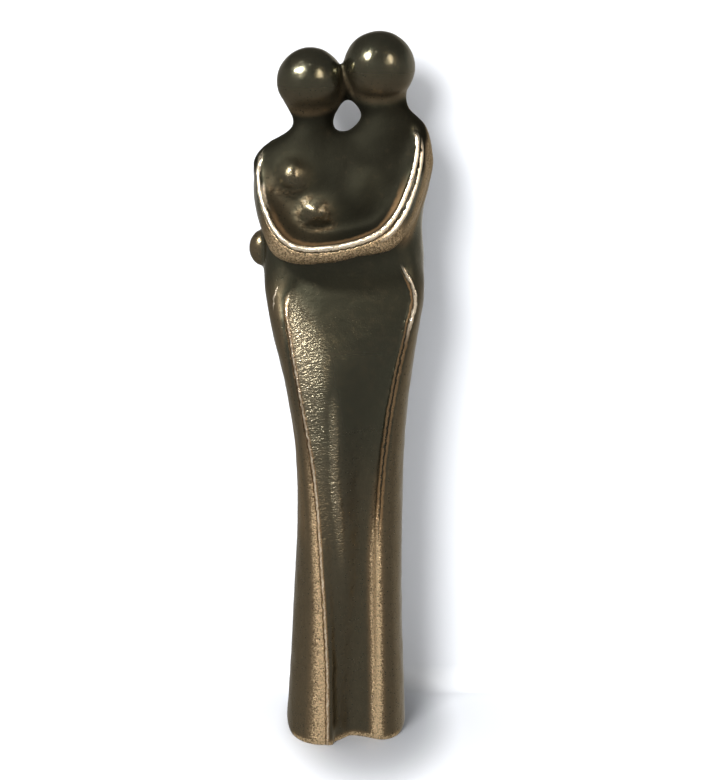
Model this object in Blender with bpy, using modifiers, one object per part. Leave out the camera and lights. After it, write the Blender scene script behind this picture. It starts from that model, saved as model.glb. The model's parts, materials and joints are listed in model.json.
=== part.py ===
"""Couple with baby: a small standing bronze, cast in one piece.

Run it with blender --background --python part.py, or from Blender's text editor.
The figure faces -Y and stands on Z = 0. Metres, +Z up, origin under the middle of the figure.
"""

import math

import bmesh
import bpy
from mathutils import Matrix, Vector

# The real height, from the floor to the top of the taller head
FIGURE_HEIGHT = 0.150

# The figure is drawn 150 units tall, so every size below is a share of its height
UNIT = FIGURE_HEIGHT / 150

# Heads: plain balls, which lean together
WOMAN_HEAD = (-7.1, 0.0, 139.9)
WOMAN_HEAD_RADIUS = 6.85
MAN_HEAD = (6.95, 0.2, 142.7)
MAN_HEAD_RADIUS = 7.3
HEAD_WELD = (-0.35, 0.2, 139.2)
HEAD_WELD_RADIUS = (2.0, 2.6, 3.3)

# Necks and shoulders: height, then left, right, front and back edge of each level
WOMAN_SHOULDERS = (
    (116.0, -16.0, -1.0, -5.0, 7.0),
    (122.0, -18.4, -0.8, -5.6, 6.8),
    (125.6, -17.4, -1.0, -5.0, 6.0),
    (128.4, -13.9, -1.4, -4.2, 5.0),
    (130.4, -11.0, -2.3, -3.6, 4.1),
    (132.0, -10.6, -2.5, -3.3, 3.8),
    (134.0, -11.7, -1.3, -3.5, 4.0),
    (136.0, -13.0, -0.4, -3.8, 4.2),
    (139.0, -13.2, -0.2, -3.8, 4.2),
)
MAN_SHOULDERS = (
    (116.0, 0.0, 16.0, -5.0, 7.0),
    (124.0, -0.4, 18.0, -6.0, 7.0),
    (129.0, 0.0, 17.5, -5.4, 6.2),
    (131.0, 2.0, 16.6, -4.8, 5.6),
    (132.7, 3.4, 15.2, -4.2, 4.8),
    (134.2, 2.7, 13.2, -3.8, 4.4),
    (136.2, 1.0, 12.6, -3.8, 4.4),
    (139.0, 0.4, 12.6, -3.8, 4.4),
)

# The two bodies under one robe: left and right edge at each height
BODY_TOP = 129.6
BODY_FOOT = -2.0
FOOT_ROUNDING = 0.5
LEFT_SIDE = (
    (0, -13.1), (14, -12.2), (32, -11.15), (50, -10.35), (64, -10.8), (77, -12.7), (90, -15.7),
    (98, -16.9), (110, -17.2), (118, -18.6), (122.5, -19.0), (125, -18.4), (127.4, -15.8), (129.6, -12.0),
)
RIGHT_SIDE = (
    (0, 13.1), (14, 12.65), (28, 12.2), (48, 12.2), (62, 12.5), (73, 13.3), (87, 15.1), (95, 16.4),
    (104, 16.3), (112, 16.0), (119, 17.4), (125, 18.2), (129.6, 17.2),
)
SIDE_DEPTH = ((0, -0.8), (60, -0.4), (100, 0.2), (129.6, 0.5))
FLANK_FULLNESS = 0.88
BACK_FULLNESS = 0.85
BACK_DEPTH = (
    (0, 10.2), (30, 9.2), (52, 8.7), (75, 9.3), (95, 10.3), (108, 10.1), (118, 9.2), (124, 7.6),
    (127.5, 5.4), (129.6, 2.4),
)

# The robe's front: a raised hem on each side, a soft fold between them and a channel beside it
LEFT_HEM = (
    (0, -4.4), (16, -4.4), (37, -5.4), (58, -6.9), (74, -9.3), (87, -11.5), (96, -12.4), (104, -9), (112, -6),
)
LEFT_HEM_DEPTH = (
    (0, -14.6), (16, -13.2), (37, -11.6), (58, -10.9), (70, -11.6), (79, -12.0), (86, -11.3), (92, -9.7),
    (97, -8.0), (102, -7.4), (110, -8.2), (118, -8.0), (124, -6.4), (127.5, -4.4), (129.6, -2.2),
)
RIGHT_HEM = (
    (0, 7.5), (18, 7.3), (42, 7.0), (58, 7.8), (70, 9.1), (81, 11.0), (90, 13.0), (97, 14.2), (104, 11),
    (112, 6),
)
RIGHT_HEM_DEPTH = (
    (0, -11.9), (27, -10.7), (55, -9.8), (75, -9.3), (97, -8.2), (104, -8.0), (110, -8.4), (118, -8.0),
    (124, -6.6), (127.5, -4.6), (129.6, -1.6),
)
HEM_STEP = ((0, 0.05), (14, 0.35), (36, 0.7), (90, 0.8), (98, 0.5), (104, 0.0))
HEM_WIDTH = 0.75
PANEL_EDGE = ((0, 0.0), (30, 0.1), (45, 0.4), (60, 0.7), (90, 0.8), (98, 0.3), (103, 0.0))
PANEL_EDGE_WIDTH = 1.7
PANEL_HOLLOW = ((0, -0.4), (20, -0.1), (40, 0.2), (55, 0.2), (70, -0.3), (90, -0.5), (100, 0.0))
FOLD = (
    (0, -1.0), (20, -0.7), (36, -0.4), (47, -0.9), (58, -1.9), (70, -2.0), (86, -2.4), (94, -3.6),
    (106, -2.0),
)
FOLD_DEPTH = (
    (0, -11.7), (20, -10.1), (36, -9.6), (47, -10.0), (58, -10.9), (70, -11.9), (78, -12.4), (84, -11.8),
    (90, -10.2), (97, -8.4), (102, -7.8), (110, -8.4), (118, -8.2), (124, -6.6), (127.5, -4.5),
    (129.6, -2.4),
)
CHANNEL = ((0, 1.1), (20, 2.4), (36, 3.3), (58, 4.0), (75, 4.8), (90, 5.6), (106, 3.0))
CHANNEL_DEPTH = (
    (0, -9.6), (20, -8.4), (36, -7.6), (58, -7.3), (72, -8.4), (82, -9.3), (90, -9.2), (97, -8.4),
    (102, -8.0), (110, -8.6), (118, -8.4), (124, -6.6), (127.5, -4.5), (129.6, -2.4),
)

# The man's breast, a low swelling above the baby
BREAST = (4.2, 119.5)
BREAST_SPREAD = (4.4, 4.6)
BREAST_RISE = 0.8

# The back: two backs under one cloth, with a shallow valley where they meet
VALLEY_PLACE = 1.2
VALLEY_SPREAD = 2.6
VALLEY_DEPTH = ((0, 1.1), (40, 0.8), (80, 1.5), (112, 2.2), (126, 1.6))

# The arms: one band from shoulder to shoulder. Its crest is the bright edge that faces the baby
BAND_CREST = (
    (-14.6, 0.6, 125.8), (-17.3, -3.0, 124.4), (-17.8, -6.0, 121.0), (-16.8, -9.8, 116.4),
    (-13.9, -13.3, 111.1), (-9.6, -14.8, 108.2), (-3.0, -15.1, 108.2), (3.4, -14.6, 109.6),
    (7.6, -13.5, 111.6), (10.6, -12.0, 115.0), (13.0, -9.9, 120.0), (14.5, -7.5, 125.4),
    (14.6, -4.8, 129.8), (12.6, -1.0, 131.2),
)
BAND_HEEL = (
    (-12.8, 4.2, 120.5), (-16.4, 4.6, 117.6), (-17.0, 2.6, 112.9), (-16.4, -2.4, 108.6),
    (-14.6, -8.2, 105.4), (-10.4, -11.6, 104.1), (-3.4, -13.2, 104.5), (3.2, -12.8, 105.8),
    (9.0, -10.8, 106.6), (13.0, -6.9, 110.0), (15.2, -2.6, 114.6), (16.7, 2.2, 120.0),
    (15.8, 4.6, 124.6), (12.2, 4.2, 126.6),
)
BAND_SWELL = (0.6, 1.3, 1.4, 1.1, 0.8, 0.8, 0.7, 0.8, 1.1, 1.4, 1.5, 1.6, 1.4, 0.7)
BAND_THICKNESS = 7.5

# The baby: a head and a tucked body in a wrap, held in the hollow of the arms
BABY_HEAD = (-10.5, -6.4, 121.3)
BABY_HEAD_RADIUS = (3.5, 3.6, 3.7)
BABY_BODY = (-6.0, -7.6, 114.1)
BABY_BODY_RADIUS = (4.1, 3.3, 3.3)
BABY_WRAP_RADIUS = (2.6, 2.2, 2.6)
BABY_WRAP_DROP = 1.1

# The fold of sleeve that runs from the woman's arm to the baby's head
SLEEVE_FOLD = ((-17.0, -5.2, 119.4), (-14.2, -6.0, 120.0), (-11.5, -6.6, 121.0))
SLEEVE_FOLD_RADIUS = (1.3, 1.3, 1.6)

# The man's far arm, which crosses the woman's back and ends in a hand on her hip
FAR_ARM = (
    (12.0, 1.8, 126.5), (6.5, 6.4, 122.5), (-2.0, 8.2, 115.0), (-10.5, 6.9, 108.4), (-16.4, 3.2, 105.8),
)
FAR_ARM_RADIUS = (3.8, 3.6, 3.3, 3.0, 2.5)
HAND = (-17.3, 1.6, 105.4)
HAND_RADIUS = (2.8, 3.4, 3.8)

# How finely the figure is drawn, fused and thinned
RING_STEP = 1.0
FLANK_POINTS = 16
FRONT_POINTS = 44
BACK_POINTS = 44
LEVEL_POINTS = 48
BAND_POINTS = 20
BAND_STEP_POINTS = 6
TUBE_STEP_POINTS = 6
TUBE_POINTS = 24
FUSE_VOXEL = 0.5
MELT_PASSES = 4
SOLID_TRIANGLES = 9400

# Dark bronze
BRONZE_COLOUR = (0.055, 0.045, 0.032, 1.0)
BRONZE_ROUGHNESS = 0.36
BRONZE_METALLIC = 1.0


def clear_scene():
    for obj in list(bpy.data.objects):
        bpy.data.objects.remove(obj)


def hermite(a, b, slope_a, slope_b, share):
    """The smooth value at a share of the way from a to b, which leaves and arrives with the given slopes."""
    s2 = share * share
    s3 = s2 * share
    return (
        a * (2 * s3 - 3 * s2 + 1)
        + slope_a * (s3 - 2 * s2 + share)
        + b * (3 * s2 - 2 * s3)
        + slope_b * (s3 - s2)
    )


def along(track, place):
    """The smooth value of a track of (place, value) pairs. It stays level beyond the ends."""
    if place <= track[0][0]:
        return track[0][1]
    if place >= track[-1][0]:
        return track[-1][1]
    i = max(k for k in range(len(track) - 1) if track[k][0] <= place)
    (p0, v0), (p1, v1) = track[i], track[i + 1]

    def slope(k):
        before, after = track[max(k - 1, 0)], track[min(k + 1, len(track) - 1)]
        return (after[1] - before[1]) / (after[0] - before[0])

    span = p1 - p0
    return hermite(v0, v1, slope(i) * span, slope(i + 1) * span, (place - p0) / span)


def through(points, steps_between):
    """Points of a smooth curve through the given ones."""
    points = [Vector(p) for p in points]
    last = len(points) - 1
    slopes = [(points[min(k + 1, last)] - points[max(k - 1, 0)]) / 2 for k in range(last + 1)]
    curve = []
    for k in range(last):
        for step in range(steps_between):
            curve.append(hermite(points[k], points[k + 1], slopes[k], slopes[k + 1], step / steps_between))
    return curve + [points[last]]


def bell(distance, spread):
    return math.exp(-((distance / spread) ** 2))


def new_mesh_object(name, bm):
    mesh = bpy.data.meshes.new(name)
    bm.to_mesh(mesh)
    bm.free()
    obj = bpy.data.objects.new(name, mesh)
    bpy.context.collection.objects.link(obj)
    return obj


def loft(name, rings):
    """A closed shape through rings that have equal numbers of points."""
    bm = bmesh.new()
    rows = [[bm.verts.new(Vector(p) * UNIT) for p in ring] for ring in rings]
    count = len(rows[0])
    for lower, upper in zip(rows, rows[1:]):
        for k in range(count):
            n = (k + 1) % count
            bm.faces.new((lower[k], lower[n], upper[n], upper[k]))
    bm.faces.new(reversed(rows[0]))
    bm.faces.new(rows[-1])
    bmesh.ops.recalc_face_normals(bm, faces=bm.faces)
    return new_mesh_object(name, bm)


def ball(name, centre, radii):
    """A ball, or an egg where the three radii differ."""
    bm = bmesh.new()
    bmesh.ops.create_uvsphere(bm, u_segments=48, v_segments=24, radius=UNIT)
    place = Matrix.Translation(Vector(centre) * UNIT)
    bm.transform(place @ Matrix.Diagonal((*radii, 1.0)))
    return new_mesh_object(name, bm)


def tube(name, points, radii):
    """A limb along a smooth curve, whose radius changes from point to point."""
    path = through(points, TUBE_STEP_POINTS)
    widths = through([(r, 0, 0) for r in radii], TUBE_STEP_POINTS)
    rings = []
    for k, centre in enumerate(path):
        forward = (path[min(k + 1, len(path) - 1)] - path[max(k - 1, 0)]).normalized()
        side = forward.cross(Vector((0, 0, 1))).normalized()
        up = side.cross(forward)
        turns = [2 * math.pi * n / TUBE_POINTS for n in range(TUBE_POINTS)]
        rings.append([centre + widths[k].x * (side * math.cos(t) + up * math.sin(t)) for t in turns])
    return loft(name, rings)


def front_depth(x, z, left_hem, right_hem):
    """Depth of the front between the two hems."""
    step = along(HEM_STEP, z)
    left_foot = along(LEFT_HEM_DEPTH, z) + step
    right_foot = along(RIGHT_HEM_DEPTH, z) + step
    fold, fold_depth = along(FOLD, z), along(FOLD_DEPTH, z)
    panel = (left_hem + fold) / 2
    panel_depth = (left_foot + fold_depth) / 2 + along(PANEL_HOLLOW, z)
    profile = (
        (left_hem, left_foot),
        (left_hem + PANEL_EDGE_WIDTH, left_foot - along(PANEL_EDGE, z)),
        (panel, panel_depth),
        (fold, fold_depth),
        (along(CHANNEL, z), along(CHANNEL_DEPTH, z)),
        (right_hem, right_foot),
    )
    depth = along(profile, x)
    depth -= step * math.exp(-(x - left_hem) / HEM_WIDTH)
    depth -= step * math.exp(-(right_hem - x) / HEM_WIDTH)
    swelling = bell(x - BREAST[0], BREAST_SPREAD[0]) * bell(z - BREAST[1], BREAST_SPREAD[1])
    return depth - BREAST_RISE * swelling


def body_ring(z):
    """One level of the robe and the bodies: left flank, front, right flank and back."""
    inset = FOOT_ROUNDING * max(0.0, 1 - max(z, 0) / FOOT_ROUNDING) ** 2
    left, right = along(LEFT_SIDE, z) + inset, along(RIGHT_SIDE, z) - inset
    side_y = along(SIDE_DEPTH, z)
    left_hem, right_hem = along(LEFT_HEM, z), along(RIGHT_HEM, z)
    ring = []
    forward = front_depth(left_hem, z, left_hem, right_hem) + inset - side_y
    for k in range(FLANK_POINTS):
        turn = math.pi / 2 * k / FLANK_POINTS
        x = left_hem - (left_hem - left) * math.cos(turn) ** FLANK_FULLNESS
        ring.append((x, side_y + forward * math.sin(turn) ** FLANK_FULLNESS, z))
    for k in range(FRONT_POINTS + 1):
        x = left_hem + (right_hem - left_hem) * k / FRONT_POINTS
        ring.append((x, front_depth(x, z, left_hem, right_hem) + inset, z))
    forward = front_depth(right_hem, z, left_hem, right_hem) + inset - side_y
    for k in range(1, FLANK_POINTS + 1):
        turn = math.pi / 2 * (1 - k / FLANK_POINTS)
        x = right_hem + (right - right_hem) * math.cos(turn) ** FLANK_FULLNESS
        ring.append((x, side_y + forward * math.sin(turn) ** FLANK_FULLNESS, z))
    middle, half = (left + right) / 2, (right - left) / 2
    back = along(BACK_DEPTH, z) - inset - side_y
    for k in range(1, BACK_POINTS):
        turn = math.pi * k / BACK_POINTS
        x = middle + half * math.cos(turn)
        y = side_y + back * math.sin(turn) ** BACK_FULLNESS
        y -= along(VALLEY_DEPTH, z) * bell(x - VALLEY_PLACE, VALLEY_SPREAD) * min(1.0, back / 8)
        ring.append((x, y, z))
    return ring


def make_bodies():
    count = round((BODY_TOP - BODY_FOOT) / RING_STEP)
    levels = [BODY_FOOT + (BODY_TOP - BODY_FOOT) * k / count for k in range(count + 1)]
    return loft("bodies", [body_ring(z) for z in levels])


def make_shoulders(name, levels):
    """A neck that widens into its shoulders."""
    edges = [[(level[0], level[side]) for level in levels] for side in range(1, 5)]
    bottom, top = levels[0][0], levels[-1][0]
    count = round((top - bottom) / RING_STEP)
    rings = []
    for k in range(count + 1):
        z = bottom + (top - bottom) * k / count
        left, right, front, back = (along(edge, z) for edge in edges)
        middle = Vector(((left + right) / 2, (front + back) / 2, z))
        half_width, half_depth = (right - left) / 2, (back - front) / 2
        turns = [2 * math.pi * n / LEVEL_POINTS for n in range(LEVEL_POINTS)]
        rings.append(
            [middle + Vector((half_width * math.cos(t), half_depth * math.sin(t), 0)) for t in turns]
        )
    return loft(name, rings)


def make_band():
    """The arms, as a band with a sharp crest on the side of the baby and a swelling face outside."""
    crest = through(BAND_CREST, BAND_STEP_POINTS)
    heel = through(BAND_HEEL, BAND_STEP_POINTS)
    swell = through([(s, 0, 0) for s in BAND_SWELL], BAND_STEP_POINTS)
    rings = []
    for k, (top, low) in enumerate(zip(crest, heel)):
        forward = (crest[min(k + 1, len(crest) - 1)] - crest[max(k - 1, 0)]).normalized()
        across = low - top
        outward = across.cross(forward).normalized()
        ring = []
        for n in range(BAND_POINTS):
            share = n / BAND_POINTS
            ring.append(top + across * share + outward * swell[k].x * math.sin(math.pi * share))
        for n in range(BAND_POINTS):
            share = n / BAND_POINTS
            ring.append(low - across * share - outward * BAND_THICKNESS * math.sin(math.pi * share))
        rings.append(ring)
    return loft("band", rings)


def make_heads():
    return [
        ball("woman_head", WOMAN_HEAD, (WOMAN_HEAD_RADIUS,) * 3),
        ball("man_head", MAN_HEAD, (MAN_HEAD_RADIUS,) * 3),
        ball("head_weld", HEAD_WELD, HEAD_WELD_RADIUS),
    ]


def make_baby():
    head, body = Vector(BABY_HEAD), Vector(BABY_BODY)
    middle = head.lerp(body, 0.5) + Vector((0, BABY_WRAP_DROP, 0))
    return [
        ball("baby_head", head, BABY_HEAD_RADIUS),
        ball("baby_body", body, BABY_BODY_RADIUS),
        tube("baby_wrap", (head, middle, body), BABY_WRAP_RADIUS),
        tube("sleeve_fold", SLEEVE_FOLD, SLEEVE_FOLD_RADIUS),
    ]


def make_far_arm():
    return [tube("far_arm", FAR_ARM, FAR_ARM_RADIUS), ball("hand", HAND, HAND_RADIUS)]


def with_modifiers_applied(obj):
    """Gives obj the mesh that its modifiers make, and removes them."""
    graph = bpy.context.evaluated_depsgraph_get()
    mesh = bpy.data.meshes.new_from_object(obj.evaluated_get(graph))
    obj.modifiers.clear()
    obj.data = mesh


def joined(name, parts):
    bm = bmesh.new()
    for part in parts:
        bm.from_mesh(part.data)
        bpy.data.objects.remove(part)
    return new_mesh_object(name, bm)


def fuse(obj):
    """Makes one skin of shapes that run into each other, and softens it as wax is smoothed by hand."""
    skin = obj.modifiers.new("fuse", "REMESH")
    skin.mode = "VOXEL"
    skin.voxel_size = FUSE_VOXEL * UNIT
    melt = obj.modifiers.new("melt", "SMOOTH")
    melt.factor = 0.5
    melt.iterations = MELT_PASSES
    with_modifiers_applied(obj)


def thin_out(obj):
    """Keeps the triangles that the form needs."""
    obj.data.calc_loop_triangles()
    thin = obj.modifiers.new("thin_out", "DECIMATE")
    thin.ratio = SOLID_TRIANGLES / len(obj.data.loop_triangles)
    with_modifiers_applied(obj)


def cut_foot(obj):
    """Saws the figure off flat at the floor."""
    bm = bmesh.new()
    bm.from_mesh(obj.data)
    everything = bm.verts[:] + bm.edges[:] + bm.faces[:]
    cut = bmesh.ops.bisect_plane(
        bm, geom=everything, plane_co=(0, 0, 0), plane_no=(0, 0, 1), clear_inner=True
    )
    rim = [item for item in cut["geom_cut"] if isinstance(item, bmesh.types.BMEdge)]
    bmesh.ops.triangle_fill(bm, edges=rim, use_beauty=True, normal=(0, 0, -1))
    bmesh.ops.recalc_face_normals(bm, faces=bm.faces)
    bm.to_mesh(obj.data)
    bm.free()


def centre_on_origin(obj):
    """Moves the mesh so that the middle of its outline, seen from above, is on the origin."""
    corners = [Vector(c) for c in obj.bound_box]
    middle = sum(corners, Vector()) / len(corners)
    obj.data.transform(Matrix.Translation((-middle.x, -middle.y, 0)))


def bronze():
    material = bpy.data.materials.new("dark_bronze")
    material.use_nodes = True
    shader = material.node_tree.nodes["Principled BSDF"]
    shader.inputs["Base Color"].default_value = BRONZE_COLOUR
    shader.inputs["Roughness"].default_value = BRONZE_ROUGHNESS
    shader.inputs["Metallic"].default_value = BRONZE_METALLIC
    return material


def main():
    clear_scene()
    parts = [
        make_bodies(),
        make_shoulders("woman_shoulders", WOMAN_SHOULDERS),
        make_shoulders("man_shoulders", MAN_SHOULDERS),
        make_band(),
        *make_heads(),
        *make_baby(),
        *make_far_arm(),
    ]
    figure = joined("couple_with_baby", parts)
    fuse(figure)
    thin_out(figure)
    cut_foot(figure)
    centre_on_origin(figure)
    figure.data.shade_smooth()
    figure.data.materials.append(bronze())
    collection = bpy.data.collections.new("couple_with_baby")
    bpy.context.scene.collection.children.link(collection)
    bpy.context.collection.objects.unlink(figure)
    collection.objects.link(figure)


main()
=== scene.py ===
"""Couple with baby, a small standing bronze: its skin and fine relief, its worn patina, and its stage.

The figure faces -Y. It is drawn in units of a hundred and fiftieth of its height, as its solid is. The same
forms are fused to a finer skin here, the hems and edges are chased, and the wear is laid on as attributes.
"""

import json
import math

import bpy
import numpy as np
from mathutils import Matrix, Vector, noise

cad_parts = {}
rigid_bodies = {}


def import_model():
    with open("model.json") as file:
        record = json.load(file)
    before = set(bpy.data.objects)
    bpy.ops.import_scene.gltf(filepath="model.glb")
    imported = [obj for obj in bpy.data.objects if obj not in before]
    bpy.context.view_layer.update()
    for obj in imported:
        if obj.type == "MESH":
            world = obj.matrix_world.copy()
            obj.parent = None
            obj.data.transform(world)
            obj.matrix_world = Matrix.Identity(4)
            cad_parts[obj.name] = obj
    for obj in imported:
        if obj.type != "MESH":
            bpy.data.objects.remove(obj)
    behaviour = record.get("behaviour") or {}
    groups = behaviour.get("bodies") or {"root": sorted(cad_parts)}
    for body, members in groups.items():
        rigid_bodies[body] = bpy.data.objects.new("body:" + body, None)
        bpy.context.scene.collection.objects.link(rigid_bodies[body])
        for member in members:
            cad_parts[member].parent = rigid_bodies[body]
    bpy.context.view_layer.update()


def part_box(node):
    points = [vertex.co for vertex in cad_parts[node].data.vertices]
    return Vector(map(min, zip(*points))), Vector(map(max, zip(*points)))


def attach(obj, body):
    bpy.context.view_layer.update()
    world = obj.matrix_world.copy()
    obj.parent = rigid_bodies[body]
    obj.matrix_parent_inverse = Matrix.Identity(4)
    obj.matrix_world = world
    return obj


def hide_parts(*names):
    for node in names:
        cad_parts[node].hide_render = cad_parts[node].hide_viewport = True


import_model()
NODE = "couple_with_baby"
LOW_CORNER, HIGH_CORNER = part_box(NODE)

bl_info = {
    "name": "Couple with Baby Bronze",
    "version": (1, 0, 0),
    "blender": (4, 5, 0),
    "location": "3D View > Sidebar > Bronze",
    "description": "Models, chases and patinates a small bronze of a couple with a baby",
    "category": "Object",
}

# Heads, and the weld between them
WOMAN_HEAD = (-7.1, 0.0, 139.9)
WOMAN_HEAD_RADIUS = 6.85
MAN_HEAD = (6.95, 0.2, 142.7)
MAN_HEAD_RADIUS = 7.3
HEADS = ((WOMAN_HEAD, (WOMAN_HEAD_RADIUS,) * 3), (MAN_HEAD, (MAN_HEAD_RADIUS,) * 3))
HEAD_WELD = (-0.35, 0.2, 139.2)
HEAD_WELD_RADIUS = (2.0, 2.6, 3.3)

# Necks and shoulders: height, then left, right, front and back edge of each level
WOMAN_SHOULDERS = (
    (116.0, -16.0, -1.0, -5.0, 7.0),
    (122.0, -18.4, -0.8, -5.6, 6.8),
    (125.6, -17.4, -1.0, -5.0, 6.0),
    (128.4, -13.9, -1.4, -4.2, 5.0),
    (130.4, -11.0, -2.3, -3.6, 4.1),
    (132.0, -10.6, -2.5, -3.3, 3.8),
    (134.0, -11.7, -1.3, -3.5, 4.0),
    (136.0, -13.0, -0.4, -3.8, 4.2),
    (139.0, -13.2, -0.2, -3.8, 4.2),
)
MAN_SHOULDERS = (
    (116.0, 0.0, 16.0, -5.0, 7.0),
    (124.0, -0.4, 18.0, -6.0, 7.0),
    (129.0, 0.0, 17.5, -5.4, 6.2),
    (131.0, 2.0, 16.6, -4.8, 5.6),
    (132.7, 3.4, 15.2, -4.2, 4.8),
    (134.2, 2.7, 13.2, -3.8, 4.4),
    (136.2, 1.0, 12.6, -3.8, 4.4),
    (139.0, 0.4, 12.6, -3.8, 4.4),
)

# The two bodies under one robe: left and right edge, and depths, by height
BODY_TOP = 129.6
BODY_FOOT = -2.0
FOOT_ROUNDING = 0.5
LEFT_SIDE = (
    (0, -13.1), (14, -12.2), (32, -11.15), (50, -10.35), (64, -10.8), (77, -12.7), (90, -15.7),
    (98, -16.9), (110, -17.2), (118, -18.6), (122.5, -19.0), (125, -18.4), (127.4, -15.8), (129.6, -12.0),
)
RIGHT_SIDE = (
    (0, 13.1), (14, 12.65), (28, 12.2), (48, 12.2), (62, 12.5), (73, 13.3), (87, 15.1), (95, 16.4),
    (104, 16.3), (112, 16.0), (119, 17.4), (125, 18.2), (129.6, 17.2),
)
SIDE_DEPTH = ((0, -0.8), (60, -0.4), (100, 0.2), (129.6, 0.5))
FLANK_FULLNESS = 0.88
BACK_FULLNESS = 0.85
BACK_DEPTH = (
    (0, 10.2), (30, 9.2), (52, 8.7), (75, 9.3), (95, 10.3), (108, 10.1), (118, 9.2), (124, 7.6),
    (127.5, 5.4), (129.6, 2.4),
)
VALLEY_PLACE = 1.2
VALLEY_SPREAD = 2.6
VALLEY_DEPTH = ((0, 1.1), (40, 0.8), (80, 1.5), (112, 2.2), (126, 1.6))

# The robe's front: a raised hem on each side, a soft fold between them and a channel beside it
LEFT_HEM = (
    (0, -4.4), (16, -4.4), (37, -5.4), (58, -6.9), (74, -9.3), (87, -11.5), (96, -12.4), (104, -9), (112, -6),
)
LEFT_HEM_DEPTH = (
    (0, -14.6), (16, -13.2), (37, -11.6), (58, -10.9), (70, -11.6), (79, -12.0), (86, -11.3), (92, -9.7),
    (97, -8.0), (102, -7.4), (110, -8.2), (118, -8.0), (124, -6.4), (127.5, -4.4), (129.6, -2.2),
)
RIGHT_HEM = (
    (0, 7.5), (18, 7.3), (42, 7.0), (58, 7.8), (70, 9.1), (81, 11.0), (90, 13.0), (97, 14.2), (104, 11),
    (112, 6),
)
RIGHT_HEM_DEPTH = (
    (0, -11.9), (27, -10.7), (55, -9.8), (75, -9.3), (97, -8.2), (104, -8.0), (110, -8.4), (118, -8.0),
    (124, -6.6), (127.5, -4.6), (129.6, -1.6),
)
PANEL_EDGE = ((0, 0.0), (30, 0.1), (45, 0.4), (60, 0.7), (90, 0.8), (98, 0.3), (103, 0.0))
PANEL_EDGE_WIDTH = 1.7
HEM_STEP = ((0, 0.05), (14, 0.35), (36, 0.7), (90, 0.8), (98, 0.5), (104, 0.0))
HEM_LIP = 0.55
HEM_FALL = 0.5
PANEL_HOLLOW = ((0, -0.4), (20, -0.1), (40, 0.2), (55, 0.2), (70, -0.3), (90, -0.5), (100, 0.0))
FOLD = (
    (0, -1.0), (20, -0.7), (36, -0.4), (47, -0.9), (58, -1.9), (70, -2.0), (86, -2.4), (94, -3.6),
    (106, -2.0),
)
FOLD_DEPTH = (
    (0, -11.7), (20, -10.1), (36, -9.6), (47, -10.0), (58, -10.9), (70, -11.9), (78, -12.4), (84, -11.8),
    (90, -10.2), (97, -8.4), (102, -7.8), (110, -8.4), (118, -8.2), (124, -6.6), (127.5, -4.5), (129.6, -2.4),
)
CHANNEL = ((0, 1.1), (20, 2.4), (36, 3.3), (58, 4.0), (75, 4.8), (90, 5.6), (106, 3.0))
CHANNEL_DEPTH = (
    (0, -9.6), (20, -8.4), (36, -7.6), (58, -7.3), (72, -8.4), (82, -9.3), (90, -9.2), (97, -8.4),
    (102, -8.0), (110, -8.6), (118, -8.4), (124, -6.6), (127.5, -4.5), (129.6, -2.4),
)
BREAST = (4.2, 119.5)
BREAST_SPREAD = (4.4, 4.6)
BREAST_RISE = 0.8

# The arms: one band from shoulder to shoulder, with its crest on the side of the baby
BAND_CREST = (
    (-14.6, 0.6, 125.8), (-17.3, -3.0, 124.4), (-17.8, -6.0, 121.0), (-16.8, -9.8, 116.4),
    (-13.9, -13.3, 111.1), (-9.6, -14.8, 108.2), (-3.0, -15.1, 108.2), (3.4, -14.6, 109.6),
    (7.6, -13.5, 111.6), (10.6, -12.0, 115.0), (13.0, -9.9, 120.0), (14.5, -7.5, 125.4),
    (14.6, -4.8, 129.8), (12.6, -1.0, 131.2),
)
BAND_HEEL = (
    (-12.8, 4.2, 120.5), (-16.4, 4.6, 117.6), (-17.0, 2.6, 112.9), (-16.4, -2.4, 108.6),
    (-14.6, -8.2, 105.4), (-10.4, -11.6, 104.1), (-3.4, -13.2, 104.5), (3.2, -12.8, 105.8),
    (9.0, -10.8, 106.6), (13.0, -6.9, 110.0), (15.2, -2.6, 114.6), (16.7, 2.2, 120.0),
    (15.8, 4.6, 124.6), (12.2, 4.2, 126.6),
)
BAND_SWELL = (0.6, 1.3, 1.4, 1.1, 0.8, 0.8, 0.7, 0.8, 1.1, 1.4, 1.5, 1.6, 1.4, 0.7)
BAND_THICKNESS = 7.5

# The baby, the fold of sleeve beside it, and the far arm round the woman's back
BABY_RIMS = (
    ((-7.2, 117.2), (-8.8, 115.9), (-9.6, 114.1), (-8.7, 112.0), (-6.6, 110.9), (-3.9, 111.0), (-2.4, 111.6)),
    ((-4.1, 116.0), (-3.8, 114.6), (-3.6, 113.2), (-2.6, 111.7)),
    ((-16.0, 119.0), (-14.0, 118.6), (-12.0, 118.2), (-9.6, 118.3), (-8.3, 119.6)),
)
BABY_HEAD = (-10.5, -6.4, 121.3)
BABY_HEAD_RADIUS = (3.5, 3.6, 3.7)
BABY_BODY = (-6.0, -7.6, 114.1)
BABY_BODY_RADIUS = (4.1, 3.3, 3.3)
BABY_WRAP_RADIUS = (2.6, 2.2, 2.6)
BABY_WRAP_DROP = 1.1
SLEEVE_FOLD = ((-17.0, -5.2, 119.4), (-14.2, -6.0, 120.0), (-11.5, -6.6, 121.0))
SLEEVE_FOLD_RADIUS = (1.3, 1.3, 1.6)
FAR_ARM = (
    (12.0, 1.8, 126.5), (6.5, 6.4, 122.5), (-2.0, 8.2, 115.0), (-10.5, 6.9, 108.4), (-16.4, 3.2, 105.8),
)
FAR_ARM_RADIUS = (3.8, 3.6, 3.3, 3.0, 2.5)
HAND = (-17.3, 1.6, 105.4)
HAND_RADIUS = (2.8, 3.4, 3.8)

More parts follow.
